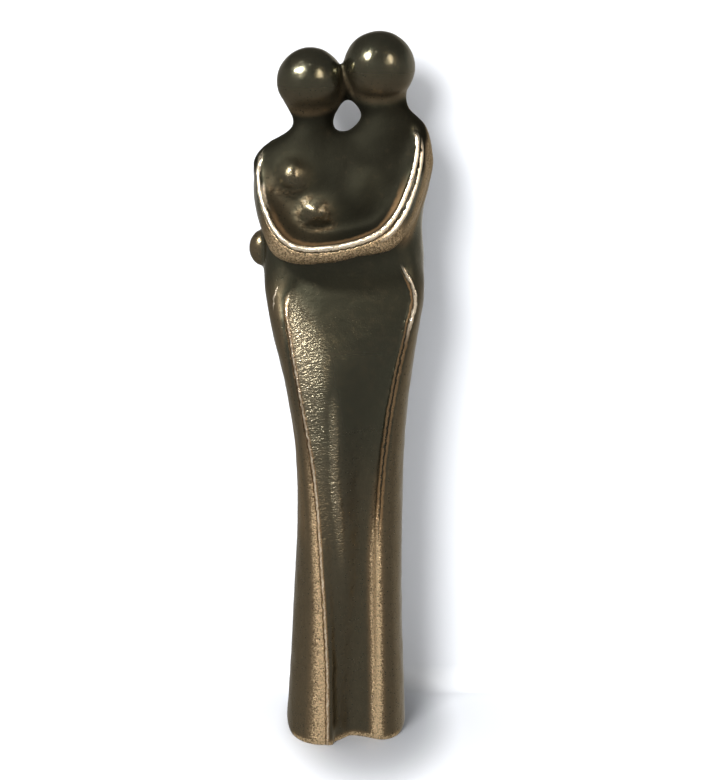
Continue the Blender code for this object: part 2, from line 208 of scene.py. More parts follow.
# How finely the wax is drawn before it is fused
RING_STEP = 0.7
FLANK_POINTS = 24
FRONT_POINTS = 80
BACK_POINTS = 56
LEVEL_POINTS = 80
BAND_POINTS = 34
BAND_STEP_POINTS = 14
TUBE_STEP_POINTS = 10
TUBE_POINTS = 32
CREST_STEP_POINTS = 16
WAX = "wax"

# Heights, or stations along the arms, between which each chased line runs
LEFT_HEM_RUN = (-2.0, -1.0, 93.0, 98.0)
# The gleam is a painted highlight on a fold beside the top of the left hem, with no relief under it
LEFT_GLEAM_RUN = (93.5, 95.5, 97.5, 99.0)
RIGHT_HEM_RUN = (40.0, 52.0, 99.0, 103.0)
RIGHT_LIP_RUN = (86.0, 94.0, 101.0, 103.5)
CREST_RUN = (0.5, 1.5, 11.6, 12.3)
WIDE_RUN = (2.2, 2.5, 2.9, 3.3)
INNER_RUN = (2.9, 3.9, 9.0, 10.5)
INNER_STRENGTH = 0.6
OUTER_RIDGE_RUN = (7.5, 8.4, 11.2, 12.2)
FACE_RUN = (2.6, 4.2, 8.2, 9.4)

# How far each run reaches from its line, and the shares of the way from the crest down to the heel
HEM_REACH = (3.0, 4.0)
LIP_REACH = (1.5, 2.0)
GLEAM_REACH = (-3.2, -1.4)
CREST_REACH = (3.0, 3.6)
FACE_REACH = 9.0
FACE_SHARE = (-0.2, 0.05, 0.92, 1.02)
BAND_SHARE = (-0.3, -0.05, 1.0, 1.15)
UNREACHED = 99.0

# The chased relief: line, run, place across the line, height and spread
LIP_PLACE = 0.48
OUTER_RIDGE = 1.75
CHASED_RELIEF = (
    ("left_hem", "left_run", LIP_PLACE, 0.2, 0.25),
    ("left_hem", "left_run", 0.08, -0.12, 0.16),
    ("right_hem", "right_run", -0.75, 0.14, 0.28),
    ("right_hem", "right_run", -0.2, -0.16, 0.22),
    ("right_hem", "right_run", 0.3, 0.14, 0.35),
    ("right_hem", "right_lip", 0.1, 0.25, 0.35),
    ("crest", "crest_run", 0.0, 0.3, 0.65),
    ("crest", "crest_run", 0.98, -0.12, 0.22),
    ("crest", "outer_run", OUTER_RIDGE, 0.3, 0.42),
    ("crest", "outer_run", OUTER_RIDGE / 2, -0.25, 0.35),
)

# Where faces are divided, so that the chased lines stay crisp: line, run and the two sides of the strip
REFINED_STRIPS = (
    ("left_hem", "left_run", -1.5, 1.5),
    ("right_hem", "right_run", -1.5, 1.5),
    ("crest", "crest_run", -1.2, 1.2),
    ("crest", "outer_run", 0.0, 2.8),
)

# The broken rims of the baby's wrap
RIM_ZONE = (-12.0, -0.4)
RIM_FADE = (0.8, 2.2)
RIM_SPREAD = 0.9
RIM_RISE = 0.14
RIM_PITCH = 1.6
RIM_LEVEL = 0.6
RIM_BREAKS = 1.2

# The hammered panel and its painted sheen: its sloping top, its strength and width by height, and the crease
# along the fold
PANEL_TOP = (-12.5, 97.5, 0.9)
PANEL_TOP_FADE = (-9.0, 4.0)
PANEL_START = (0.4, 0.9)
PANEL_END = (-2.0, 3.0)
PANEL_STRENGTH = (
    (0, 0.0), (24, 0.0), (38, 0.13), (50, 0.2), (60, 0.26), (74, 0.44), (86, 0.8), (95, 1.0),
)
PANEL_SPREAD = ((55, 3.4), (75, 4.4), (90, 6.2))
CREASE_STRENGTH = 0.42
CREASE_PLACE = -0.4
CREASE_SPREAD = 1.2
CREASE_RUN = (30.0, 54.0, 68.0, 82.0)
HAMMER_PITCH = (0.85, 0.85, 1.3)

# Where the wax is smoothed by thumb, by height, and how strongly
THUMBED_HOLLOW = (104.0, 106.0, 127.0, 130.0)
THUMBED_NECKS = (123.0, 126.0, 135.5, 138.0)
THUMBED_ROBE = (1.0, 3.0, 96.0, 103.0)
NECK_THUMBING = 0.6
FOLD_THUMBING = 0.5
FOLD_SPREAD = 2.5
ROBE_THUMBING = 0.2

# The unevenness of the cast skin
SKIN_WAVE = 0.1
SKIN_PITCH = 0.3
BABY_WAVE = 0.28
BABY_PITCH = 0.42

# Where hands and dust cloths have rubbed: how strongly, and between which heights or distances it fades
CONVEXITY_PASSES = 22
PROUD = (0.08, 0.3)
PROUD_RUB = 0.5
PROUD_FADE = (98, 101)
FACE_RUB = 0.55
LEFT_RUB_WIDTH = ((0, 5.7), (15, 4.8), (30, 3.2), (36, 2.7), (50, 2.3), (60, 2.4), (85, 2.0))
LEFT_STRIP_EDGE = (-1.1, -0.6)
LEFT_STRIP_RUB = 0.72
LEFT_STRIP_FADE = (36, 96)
RIGHT_STRIP_PLACE = -0.6
RIGHT_STRIP_SPREAD = 1.7
RIGHT_STRIP_RUB = 0.8
RIGHT_STRIP_FADE = (36, 72)
PANEL_RUB = ((0, 0.10), (30, 0.08), (60, 0.10), (95, 0.12))
FLANK_RUB = 0.24
FLANK_EDGE = (0.2, 1.2)
FLANK_FADE = (92, 106)
BACK_FADE = (76, 120)
FRONT_RUB = 0.14
FRONT_FADE = (50, 80)
WAIST = (30.0, 50.0, 74.0, 92.0)
WAIST_EDGE = (1.0, 2.5)
WAIST_RUB = 0.36
BOWL = (106.0, 108.0, 120.0, 125.0)
BOWL_DEPTHS = (0.6, 1.6, 5.0, 9.0)
BOWL_SIDE = (-8, 3)
BOWL_RUB = 0.09
CREST_INSIDE = (-5.0, -2.4, -0.9, -0.4)
INSIDE_SIDE = (-10, 0)
INSIDE_RUB = 0.2
OUTER_ARM = (2.6, 4.0, 7.5, 10.0)
OUTER_ARM_SIDE = (8, 12)
OUTER_ARM_FOOT = (105, 110)
# The outer side of the man's arm is rubbed lighter; this also paints the pale reflection along its edge
ARM_RUB_AND_PAINTED_REFLECTION = 0.46
HAND_SIDE = (16.5, 18.0)
HEAD_RUB = 0.22
SATIN_HALF = (-6.0, 4.0)
BABY_RUB = 0.17
RIM_RUB = 0.26
FLOOR_RUB = 0.7
FLOOR_FADE = (0.6, 1.6)

# Where the patina is dull and darkened with painted shade (the hollow of the arms, the necks and shoulders,
# under the band): how strongly, and between which heights or distances it fades
HOLLOW_EDGE = (0.6, 1.5)
HOLLOW_FOOT = (104, 107)
BREAST_GLOSS = 0.15
BREAST_REACH = (2.0, 6.0)
FRONT_SHOULDERS = (120, 124)
BACK_SHOULDERS = (100, 130)
BACK_DULL = 0.7
ROBE_DULL = 0.22
ROBE_TOP = (100, 104)
# Heights of the painted shadow under the band of arms, and how dark it is
UNDER_ARMS = (84.0, 99.0, 108.0, 112.0)
UNDER_BAND_PAINTED_SHADE = 0.33
SATIN_DULL = 0.4
CHINS = (133.5, 136.5)
WELD_REACH = 1.2

# The drawn lines: distance, run, place across the edge, half width and softness
BRIGHT_LINES = (
    ("crest", "crest_run", 0.05, 0.45, 0.3),
    ("crest", "outer_run", OUTER_RIDGE, 0.3, 0.25),
    ("crest", "wide_run", -0.6, 0.45, 0.45),
    ("right_hem", "right_lip", 0.1, 0.2, 0.2),
)
BROKEN_LINES = (
    ("left_hem", "left_run", LIP_PLACE, 0.05, 0.2),
    # Painted highlight on the fold left of the panel's top
    ("left_hem", "left_gleam", -2.3, 0.04, 0.16),
)
BROWN_LINES = (
    ("crest", "inner_run", -1.2, 0.45, 1.0),
    ("left_hem", "left_run", LIP_PLACE - 0.1, 0.25, 0.35),
    ("right_hem", "right_run", -0.6, 0.06, 0.25),
    ("right_hem", "right_run", 0.2, 0.12, 0.3),
)
GROOVES = (
    ("crest", "crest_run", 0.98, 0.08, 0.15),
    ("crest", "outer_run", OUTER_RIDGE / 2, 0.2, 0.2),
    ("left_hem", "left_run", 0.1, 0.0, 0.16),
    ("right_hem", "right_run", -0.22, 0.02, 0.2),
)
ATTRIBUTES = (
    "left_hem", "left_run", "right_hem", "right_run", "crest", "crest_run", "outer_run", "panel", "rubbed",
    "dull_and_shade", "inner_run", "wide_run", "left_gleam", "right_lip", "rims",
)
WAVER_SCALE = 900.0
WAVER = 0.65
GAP_SCALE = 700.0
GAPS = (0.4, 0.6, 0.45, 1.0)

# The cast grain, its clouds and its pits: scales, where each begins and ends, and its strength
GRAIN_SCALE = 2500.0
CLOUD_SCALE = 0.22
CLOUD_EDGE = (0.4, 0.75)
CLOUD_BROWN = 0.1
PIT_SCALE = 0.75
PIT_EDGE = (0.12, 0.32)
PIT_CHOICE = (0.62, 0.7)
PIT_DEPTH = 0.6
SPECKLE_EDGE = (0.36, 0.66)
MOTTLE = 0.33
MOTTLE_BY_WEAR = 6.0
MOTTLE_LEAST = 0.02
GRAIN_STRENGTH = 0.9
GRAIN_DEPTH = 0.00012
GRAIN_BY_WEAR = (0.0, 0.7, 0.35, 1.0)
HAMMER_SCALE = 1900.0
HAMMER_STRETCH = (0.75, 0.75, 1.35)
HAMMER_SLANT = 0.35
HAMMER_RELIEF = 4.2
RIM_TEXTURE = 0.3
TEXTURE_EDGE = (0.0, 0.3)
TEXTURE_FULL = 0.9
WOBBLE_SCALE = 420.0
WOBBLE = 1.0

# The patina, the wear over it and the gloss of the wax coat
THIN_WEAR = (0.0, 0.5)
BARE_WEAR = (0.34, 0.85)
WEAR_IN_PITS = 0.7
POLISH_IN_PITS = 0.8
CLOUD_IN_DULL = 0.3
METAL = 0.92
EDGE_TINT = (0.75, 0.7, 0.6, 1)
PATINA_ROUGHNESS = (0.21, 0.70)
PANEL_ROUGHNESS = 0.38
BRONZE_ROUGHNESS = 0.40
POLISHED_ROUGHNESS = 0.3
# How far the painted shade darkens the patina where it is dull and shaded
DULL_AND_PAINTED_SHADE = 0.15
BROWN_SHARE = 0.55
GROOVE_SHARE = 0.85
GROOVE_SHADE = 0.5
GROOVE_DEPTH = 1.3
COAT_FADE = 0.8
COAT_WEIGHT = 0.35
COAT_ROUGHNESS = 0.12

# The stage, in metres, and the photograph's frame
STAGE_WIDTH = 2.4
WALL_PLACE = 0.020
BEND_RADIUS = 0.005
BEND_SEGMENTS = 16
PAPER_COLOUR = (0.60, 0.615, 0.64, 1)
PAPER_ROUGHNESS = 0.9
PAPER_SPECULAR = 0.1
SHADE_COLOUR = (0.27, 0.278, 0.292, 1)
SHADE_PLACE = 0.006
SHADE_REACH = (0.021, 0.040)
SHADE_BY_HEIGHT = 110.0
SHADE_EDGE = (0.1, 1.0)
FIGURE_MIDDLE = 75
IMAGE_HEIGHT = 780
FOCAL_PIXELS = 1837
SENSOR_HEIGHT = 36
FRAME_SHIFT = 1.9
NEAR_CLIP = 0.01

# The lights: direction from the figure, distance, width and height, and colour
KEY_LIGHT = ((-0.51, -0.50, 0.69), 0.5, (0.042, 0.085), (1.0, 0.98, 0.95))
SIDE_LIGHT = ((0.52, -0.66, 0.54), 0.5, (0.17, 0.24), (1.0, 0.86, 0.72))
WASH_LIGHT = ((-0.36, -0.80, 0.40), 1.0, (0.45, 0.45), (1, 1, 1))
WASH_POWER = 17.0

# The room around: its turn from dim to pale, and its strength for each kind of ray
ROOM_COLOUR = (1.0, 0.98, 0.95, 1)
ROOM_AXIS = (0.45, 0.85, 0.0)
ROOM_TURN = (0.3, 0.95)
ROOM_TOP = (0.15, 0.6)
ROOM_DIM = (0.29, 0.10)
ROOM_PALE = 0.4
ROOM_ON_PAPER = 1.0
WHITE = 1.1


def colour_setting(name, description, default):
    return bpy.props.FloatVectorProperty(
        name=name, description=description, default=default, size=3, subtype="COLOR", min=0, max=1
    )


def length_setting(name, description, default):
    return bpy.props.FloatProperty(
        name=name, description=description, default=default, min=0, subtype="DISTANCE", unit="LENGTH"
    )


def power_setting(name, description, default):
    return bpy.props.FloatProperty(
        name=name, description=description, default=default, min=0, subtype="POWER", unit="POWER"
    )


class BronzeSettings(bpy.types.PropertyGroup):
    """What a caster would set before the wax is made and chased."""

    figure_height: length_setting(
        "Figure height", "From the floor to the top of the taller head", HIGH_CORNER.z - LOW_CORNER.z
    )
    skin: length_setting("Skin grain", "Size of the cells in which the wax parts are fused", 0.00047)
    melt: bpy.props.IntProperty(
        name="Melt", description="Passes that soften the joints of the wax", default=4, min=0
    )
    thumbing: bpy.props.IntProperty(
        name="Thumbing",
        description="Passes that soften the hollow of the arms and the necks",
        default=104,
        min=0,
    )
    hammering: length_setting("Hammering", "Depth of the tool marks on the lit panel of the robe", 0.00011)


class FinishSettings(bpy.types.PropertyGroup):
    """Colours of the patina and of the worn metal."""

    patina: colour_setting("Patina", "Dark brown of the untouched metal", (0.088, 0.085, 0.056))
    brown: colour_setting("Thin patina", "Warm brown where the patina is rubbed thin", (0.25, 0.178, 0.102))
    edge_brown: colour_setting(
        "Edge brown", "Orange brown along the hems and inside the crest", (0.42, 0.25, 0.12)
    )
    polished: colour_setting(
        "Polished bronze", "Bright metal on the crest of the arms and the lips of the hems", (1.0, 0.86, 0.66)
    )
    bronze: colour_setting("Worn bronze", "Bare metal on the edges that hands rub", (0.90, 0.67, 0.40))
    # Painted sheen: grey gold laid on the hammered panel, partly rubbed high spots and partly where the key
    # light falls on it
    rub_and_painted_sheen: colour_setting("Panel sheen", "Grey gold of the hammered panel of the robe", (0.385, 0.335, 0.235))


class StageSettings(bpy.types.PropertyGroup):
    """The light and the camera."""

    camera_distance: length_setting("Camera distance", "From the camera to the figure", 0.39)
    camera_elevation: bpy.props.FloatProperty(
        name="Camera elevation", description="How far the camera looks down", default=math.radians(14),
        subtype="ANGLE", unit="ROTATION",
    )
    key_power: power_setting("Key light", "Soft light from the upper left", 5.0)
    side_power: power_setting("Side light", "Dimmer light from the right", 0.9)


def hermite(a, b, slope_a, slope_b, share):
    """The smooth value at a share of the way from a to b, which leaves and arrives with the given slopes."""
    s2 = share * share
    s3 = s2 * share
    return (
        a * (2 * s3 - 3 * s2 + 1)
        + slope_a * (s3 - 2 * s2 + share)
        + b * (3 * s2 - 2 * s3)
        + slope_b * (s3 - s2)
    )


def along(track, place):
    """The smooth value of a track of (place, value) pairs. It stays level beyond the ends."""
    if place <= track[0][0]:
        return track[0][1]
    if place >= track[-1][0]:
        return track[-1][1]
    i = max(k for k in range(len(track) - 1) if track[k][0] <= place)
    (p0, v0), (p1, v1) = track[i], track[i + 1]

    def slope(k):
        before, after = track[max(k - 1, 0)], track[min(k + 1, len(track) - 1)]
        return (after[1] - before[1]) / (after[0] - before[0])

    span = p1 - p0
    return hermite(v0, v1, slope(i) * span, slope(i + 1) * span, (place - p0) / span)


def along_all(track, places):
    """along() for an array of places."""
    samples = np.linspace(track[0][0], track[-1][0], 400)
    return np.interp(places, samples, [along(track, s) for s in samples])


def through(points, steps_between):
    """Points of a smooth curve through the given ones."""
    points = [Vector(p) for p in points]
    last = len(points) - 1
    slopes = [(points[min(k + 1, last)] - points[max(k - 1, 0)]) / 2 for k in range(last + 1)]
    curve = []
    for k in range(last):
        for step in range(steps_between):
            curve.append(hermite(points[k], points[k + 1], slopes[k], slopes[k + 1], step / steps_between))
    return curve + [points[last]]


def bell(distance, spread):
    return np.exp(-((distance / spread) ** 2))


def rise(value, low, high):
    """0 below low, 1 above high and smooth between. It works on numbers and on arrays."""
    share = np.clip((value - low) / (high - low), 0.0, 1.0)
    return share * share * (3 - 2 * share)


def run(value, limits):
    """1 along a stretch given by its four limits, and 0 beyond it."""
    return rise(value, limits[0], limits[1]) * (1 - rise(value, limits[2], limits[3]))


def unit():
    """A drawing unit, in metres."""
    return bpy.context.scene.bronze.figure_height / 150


def deselect():
    if bpy.context.object and bpy.context.object.mode != "OBJECT":
        bpy.ops.object.mode_set(mode="OBJECT")
    bpy.ops.object.select_all(action="DESELECT")


def make_wax(obj, name):
    """Names a part of the wax model, so that it is fused with the others."""
    obj.name = name
    obj[WAX] = True
    return obj


def rolled(name, rings):
    """A grid rolled into a tube whose rings are given, closed at both ends."""
    deselect()
    bpy.ops.mesh.primitive_grid_add(x_subdivisions=len(rings[0]), y_subdivisions=len(rings) - 1)
    obj = bpy.context.object
    places = [tuple(p) for ring in rings for p in (*ring, ring[0])]
    obj.data.vertices.foreach_set("co", (np.array(places, np.float32) * unit()).ravel())
    bpy.ops.object.mode_set(mode="EDIT")
    bpy.ops.mesh.select_all(action="SELECT")
    bpy.ops.mesh.remove_doubles(threshold=1e-7)
    bpy.ops.mesh.fill_holes(sides=0)
    bpy.ops.mesh.normals_make_consistent(inside=False)
    bpy.ops.object.mode_set(mode="OBJECT")
    return make_wax(obj, name)


def ball(name, centre, radii):
    """A ball, pulled to an egg where the three radii differ."""
    deselect()
    place = Vector(centre) * unit()
    bpy.ops.mesh.primitive_uv_sphere_add(segments=96, ring_count=48, radius=unit(), location=place)
    obj = bpy.context.object
    obj.scale = radii
    bpy.ops.object.transform_apply(location=True, rotation=True, scale=True)
    return make_wax(obj, name)


def tube(name, points, radii):
    """A limb along a smooth curve, whose radius changes from point to point."""
    path = through(points, TUBE_STEP_POINTS)
    widths = through([(r, 0, 0) for r in radii], TUBE_STEP_POINTS)
    rings = []
    for k, centre in enumerate(path):
        forward = (path[min(k + 1, len(path) - 1)] - path[max(k - 1, 0)]).normalized()
        side = forward.cross(Vector((0, 0, 1))).normalized()
        up = side.cross(forward)
        turns = [2 * math.pi * n / TUBE_POINTS for n in range(TUBE_POINTS)]
        rings.append([centre + widths[k].x * (side * math.cos(t) + up * math.sin(t)) for t in turns])
    return rolled(name, rings)


def lip(distance):
    """Height of a hem's raised lip at a distance in from its edge, from 1 on the lip to 0 on the panel."""
    return 1 - rise(distance, HEM_LIP, HEM_LIP + HEM_FALL)


def front_depth(x, z, left_hem, right_hem):
    """Depth of the front between the two hems."""
    step = along(HEM_STEP, z)
    left_foot = along(LEFT_HEM_DEPTH, z) + step
    right_foot = along(RIGHT_HEM_DEPTH, z) + step
    fold, fold_depth = along(FOLD, z), along(FOLD_DEPTH, z)
    panel = (left_hem + fold) / 2
    panel_depth = (left_foot + fold_depth) / 2 + along(PANEL_HOLLOW, z)
    profile = (
        (left_hem, left_foot),
        (left_hem + PANEL_EDGE_WIDTH, left_foot - along(PANEL_EDGE, z)),
        (panel, panel_depth),
        (fold, fold_depth),
        (along(CHANNEL, z), along(CHANNEL_DEPTH, z)),
        (right_hem, right_foot),
    )
    depth = along(profile, x) - step * (lip(x - left_hem) + lip(right_hem - x))
    swelling = bell(x - BREAST[0], BREAST_SPREAD[0]) * bell(z - BREAST[1], BREAST_SPREAD[1])
    return depth - BREAST_RISE * swelling


def body_ring(z):
    """One level of the robe and the bodies: left flank, front, right flank and back."""
    inset = FOOT_ROUNDING * max(0.0, 1 - max(z, 0) / FOOT_ROUNDING) ** 2
    left, right = along(LEFT_SIDE, z) + inset, along(RIGHT_SIDE, z) - inset
    side_y = along(SIDE_DEPTH, z)
    left_hem, right_hem = along(LEFT_HEM, z), along(RIGHT_HEM, z)
    ring = []
    forward = front_depth(left_hem, z, left_hem, right_hem) + inset - side_y
    for k in range(FLANK_POINTS):
        turn = math.pi / 2 * k / FLANK_POINTS
        x = left_hem - (left_hem - left) * math.cos(turn) ** FLANK_FULLNESS
        ring.append((x, side_y + forward * math.sin(turn) ** FLANK_FULLNESS, z))
    for k in range(FRONT_POINTS + 1):
        x = left_hem + (right_hem - left_hem) * k / FRONT_POINTS
        ring.append((x, front_depth(x, z, left_hem, right_hem) + inset, z))
    forward = front_depth(right_hem, z, left_hem, right_hem) + inset - side_y
    for k in range(1, FLANK_POINTS + 1):
        turn = math.pi / 2 * (1 - k / FLANK_POINTS)
        x = right_hem + (right - right_hem) * math.cos(turn) ** FLANK_FULLNESS
        ring.append((x, side_y + forward * math.sin(turn) ** FLANK_FULLNESS, z))
    middle, half = (left + right) / 2, (right - left) / 2
    back = along(BACK_DEPTH, z) - inset - side_y
    for k in range(1, BACK_POINTS):
        turn = math.pi * k / BACK_POINTS
        x = middle + half * math.cos(turn)
        y = side_y + back * math.sin(turn) ** BACK_FULLNESS
        y -= along(VALLEY_DEPTH, z) * bell(x - VALLEY_PLACE, VALLEY_SPREAD) * min(1.0, back / 8)
        ring.append((x, y, z))
    return ring


def shoulder_rings(levels):
    """Rings of a neck that widens into its shoulders."""
    edges = [[(level[0], level[side]) for level in levels] for side in range(1, 5)]
    bottom, top = levels[0][0], levels[-1][0]
    count = round((top - bottom) / RING_STEP)
    rings = []
    for k in range(count + 1):
        z = bottom + (top - bottom) * k / count
        left, right, front, back = (along(edge, z) for edge in edges)
        middle = Vector(((left + right) / 2, (front + back) / 2, z))
        half_width, half_depth = (right - left) / 2, (back - front) / 2
        turns = [2 * math.pi * n / LEVEL_POINTS for n in range(LEVEL_POINTS)]
        rings.append(
            [middle + Vector((half_width * math.cos(t), half_depth * math.sin(t), 0)) for t in turns]
        )
    return rings


def band_frames(steps_between):
    """Crest, heel, swell, forward and outward direction at each step along the arms."""
    crest = through(BAND_CREST, steps_between)
    heel = through(BAND_HEEL, steps_between)
    swell = through([(s, 0, 0) for s in BAND_SWELL], steps_between)
    frames = []
    for k, (top, low) in enumerate(zip(crest, heel)):
        forward = (crest[min(k + 1, len(crest) - 1)] - crest[max(k - 1, 0)]).normalized()
        outward = (low - top).cross(forward).normalized()
        frames.append((top, low, swell[k].x, forward, outward))
    return frames


def band_rings():
    rings = []
    for top, low, swell, forward, outward in band_frames(BAND_STEP_POINTS):
        across = low - top
        shares = [n / BAND_POINTS for n in range(BAND_POINTS)]
        face = [top + across * s + outward * swell * math.sin(math.pi * s) for s in shares]
        inside = [low - across * s - outward * BAND_THICKNESS * math.sin(math.pi * s) for s in shares]
        rings.append(face + inside)
    return rings


class BRONZE_OT_bodies(bpy.types.Operator):
    """Draws the two bodies under one robe, and their shoulders"""

    bl_idname = "bronze.bodies"
    bl_label = "Bodies and Robe"

    def execute(self, context):
        count = round((BODY_TOP - BODY_FOOT) / RING_STEP)
        levels = [BODY_FOOT + (BODY_TOP - BODY_FOOT) * k / count for k in range(count + 1)]
        rolled("bodies", [body_ring(z) for z in levels])
        rolled("woman_shoulders", shoulder_rings(WOMAN_SHOULDERS))
        rolled("man_shoulders", shoulder_rings(MAN_SHOULDERS))
        return {"FINISHED"}


class BRONZE_OT_heads(bpy.types.Operator):
    """Adds the two plain ball heads and the weld where they touch"""

    bl_idname = "bronze.heads"
    bl_label = "Heads"

    def execute(self, context):
        for name, (centre, radii) in zip(("woman_head", "man_head"), HEADS):
            ball(name, centre, radii)
        ball("head_weld", HEAD_WELD, HEAD_WELD_RADIUS)
        return {"FINISHED"}


class BRONZE_OT_arms(bpy.types.Operator):
    """Adds the band of arms round the front, the far arm and its hand"""

    bl_idname = "bronze.arms"
    bl_label = "Arms"

    def execute(self, context):
        rolled("band", band_rings())
        tube("far_arm", FAR_ARM, FAR_ARM_RADIUS)
        ball("hand", HAND, HAND_RADIUS)
        return {"FINISHED"}


class BRONZE_OT_baby(bpy.types.Operator):
    """Adds the baby's head, body and wrap, and the fold of sleeve beside it"""

    bl_idname = "bronze.baby"
    bl_label = "Baby"

    def execute(self, context):
        head, body = Vector(BABY_HEAD), Vector(BABY_BODY)
        middle = head.lerp(body, 0.5) + Vector((0, BABY_WRAP_DROP, 0))
        ball("baby_head", head, BABY_HEAD_RADIUS)
        ball("baby_body", body, BABY_BODY_RADIUS)
        tube("baby_wrap", (head, middle, body), BABY_WRAP_RADIUS)
        tube("sleeve_fold", SLEEVE_FOLD, SLEEVE_FOLD_RADIUS)
        return {"FINISHED"}


def with_modifier(obj, name, kind, **values):
    """Adds a modifier with these values and applies it."""
    modifier = obj.modifiers.new(name, kind)
    for key, value in values.items():
        setattr(modifier, key, value)
    bpy.context.view_layer.objects.active = obj
    bpy.ops.object.modifier_apply(modifier=name)


def weigh(obj, name, weights):
    """A vertex group whose weights are given in tenths."""
    group = obj.vertex_groups.new(name=name)
    tenths = np.round(weights * 10).astype(int)
    for tenth in range(1, 11):
        group.add(np.flatnonzero(tenths == tenth).tolist(), tenth / 10, "REPLACE")


def ball_mask(places, centre, radii):
    """1 on a ball and 0 a little way off it."""
    away = np.linalg.norm((places - np.array(centre)) / np.array(radii), axis=1)
    return 1 - rise(away, 1.03, 1.2)


def baby_mask(places):
    """1 in the middle of the baby's head and body, and softly less around them."""
    soft = np.zeros(len(places))
    for centre, radii in ((BABY_HEAD, BABY_HEAD_RADIUS), (BABY_BODY, BABY_BODY_RADIUS)):
        away = np.hypot((places[:, 0] - centre[0]) / radii[0], (places[:, 2] - centre[2]) / radii[2])
        soft = np.maximum(soft, bell(away, 0.9) * rise(-places[:, 1], 2, 4))
    return soft


def thumbed_places(places):
    """Where the wax is smoothed by thumb: the hollow with the baby, and the necks down to the chest."""
    crest = crest_distances(places)[0]
    z = places[:, 2]
    hollow = rise(-crest, 0.5, 1.5) * (crest < 0) * run(z, THUMBED_HOLLOW) * rise(-places[:, 1], -1, 1)
    necks = NECK_THUMBING * run(z, THUMBED_NECKS) * rise(np.abs(crest), 1.5, 3.0)
    fold = FOLD_THUMBING * bell(places[:, 0] - along_all(FOLD, z), FOLD_SPREAD) * (places[:, 1] < 0)
    off_hems = np.minimum(
        rise(np.abs(places[:, 0] - along_all(LEFT_HEM, z)), 1.0, 2.0),
        rise(np.abs(places[:, 0] - along_all(RIGHT_HEM, z)), 1.0, 2.0),
    )
    robe = np.maximum(fold, ROBE_THUMBING * off_hems) * run(z, THUMBED_ROBE)
    return np.maximum.reduce((hollow, necks, robe))


class BRONZE_OT_fuse(bpy.types.Operator):
    """Joins the wax parts to one skin, saws the foot flat and sets the figure in its place"""

    bl_idname = "bronze.fuse"
    bl_label = "Fuse the Wax"

    def execute(self, context):
        settings = context.scene.bronze
        deselect()
        parts = [o for o in bpy.data.objects if o.get(WAX)]
        for part in parts:
            part.select_set(True)
        context.view_layer.objects.active = parts[0]
        bpy.ops.object.join()
        figure = context.object
        figure.name = "bronze_figure"
        with_modifier(figure, "skin", "REMESH", mode="VOXEL", voxel_size=settings.skin)
        with_modifier(figure, "melt", "SMOOTH", factor=0.5, iterations=settings.melt)
        figure["drawing_shift"] = (0.0, 0.0, 0.0)
        weigh(figure, "thumbed", thumbed_places(drawing_places(figure)))
        with_modifier(
            figure, "thumb", "SMOOTH", factor=0.5, iterations=settings.thumbing, vertex_group="thumbed"
        )
        figure.vertex_groups.clear()
        bpy.ops.object.mode_set(mode="EDIT")
        bpy.ops.mesh.select_all(action="SELECT")
        bpy.ops.mesh.bisect(plane_co=(0, 0, 0), plane_no=(0, 0, 1), use_fill=True, clear_inner=True)
        bpy.ops.object.mode_set(mode="OBJECT")
        corners = [Vector(c) for c in figure.bound_box]
        middle = sum(corners, Vector()) / len(corners)
        shift = (LOW_CORNER + HIGH_CORNER) / 2 - middle
        shift.z = 0
        figure.data.transform(Matrix.Translation(shift))
        figure["drawing_shift"] = shift
        return {"FINISHED"}


def drawing_places(obj):
    """The mesh's vertices in drawing units."""
    places = np.empty(len(obj.data.vertices) * 3, np.float32)
    obj.data.vertices.foreach_get("co", places)
    return (places.reshape(-1, 3).astype(float) - np.array(obj["drawing_shift"])) / unit()


def normals(obj):
    found = np.empty(len(obj.data.vertices) * 3, np.float32)
    obj.data.vertices.foreach_get("normal", found)
    return found.reshape(-1, 3).astype(float)


def crest_distances(places):
    """Distance to the crest of the arms, the share of the way to the heel, and the station along the arms."""
    distance = np.full(len(places), UNREACHED)
    side = np.ones(len(places))
    share = np.full(len(places), -1.0)
    station = np.zeros(len(places))
    near = np.flatnonzero((places[:, 2] > 98) & (places[:, 1] < 8))
    for k, (top, low, swell, forward, outward) in enumerate(band_frames(CREST_STEP_POINTS)):
        across = low - top
        width = across.length
        offset = places[near] - np.array(top)
        lengthwise = offset @ np.array(forward)
        flat = offset - lengthwise[:, None] * np.array(forward)
        down = flat @ np.array(across / width)
        out = flat @ np.array(outward)
        here = np.hypot(down, out) + 2 * np.maximum(np.abs(lengthwise) - 0.5, 0)
        closer = here < distance[near]
        spots = near[closer]
        distance[spots] = here[closer]
        side[spots] = np.where((out > -0.6 * down)[closer], 1.0, -1.0)
        share[spots] = (down / width)[closer]
        station[spots] = k / CREST_STEP_POINTS
    return distance * side, share, station


def smoothed(values, ends, passes):
    """Values evened out between neighbours."""
    count = len(values)
    neighbours = np.maximum(np.bincount(ends.ravel(), minlength=count), 1)
    for _ in range(passes):
        total = np.bincount(ends[:, 0], values[ends[:, 1]], count)
        total += np.bincount(ends[:, 1], values[ends[:, 0]], count)
        values = 0.5 * values + 0.5 * total / neighbours
    return values


def edge_ends(obj):
    ends = np.empty(len(obj.data.edges) * 2, np.int32)
    obj.data.edges.foreach_get("vertices", ends)
    return ends.reshape(-1, 2)


def set_attribute(obj, name, values):
    layer = obj.data.attributes.get(name) or obj.data.attributes.new(name, "FLOAT", "POINT")
    layer.data.foreach_set("value", values.astype(np.float32))


def unevenness(places, pitch):
    """Smooth noise at each of the places."""
    return np.array([noise.noise(Vector(place)) for place in places * pitch])


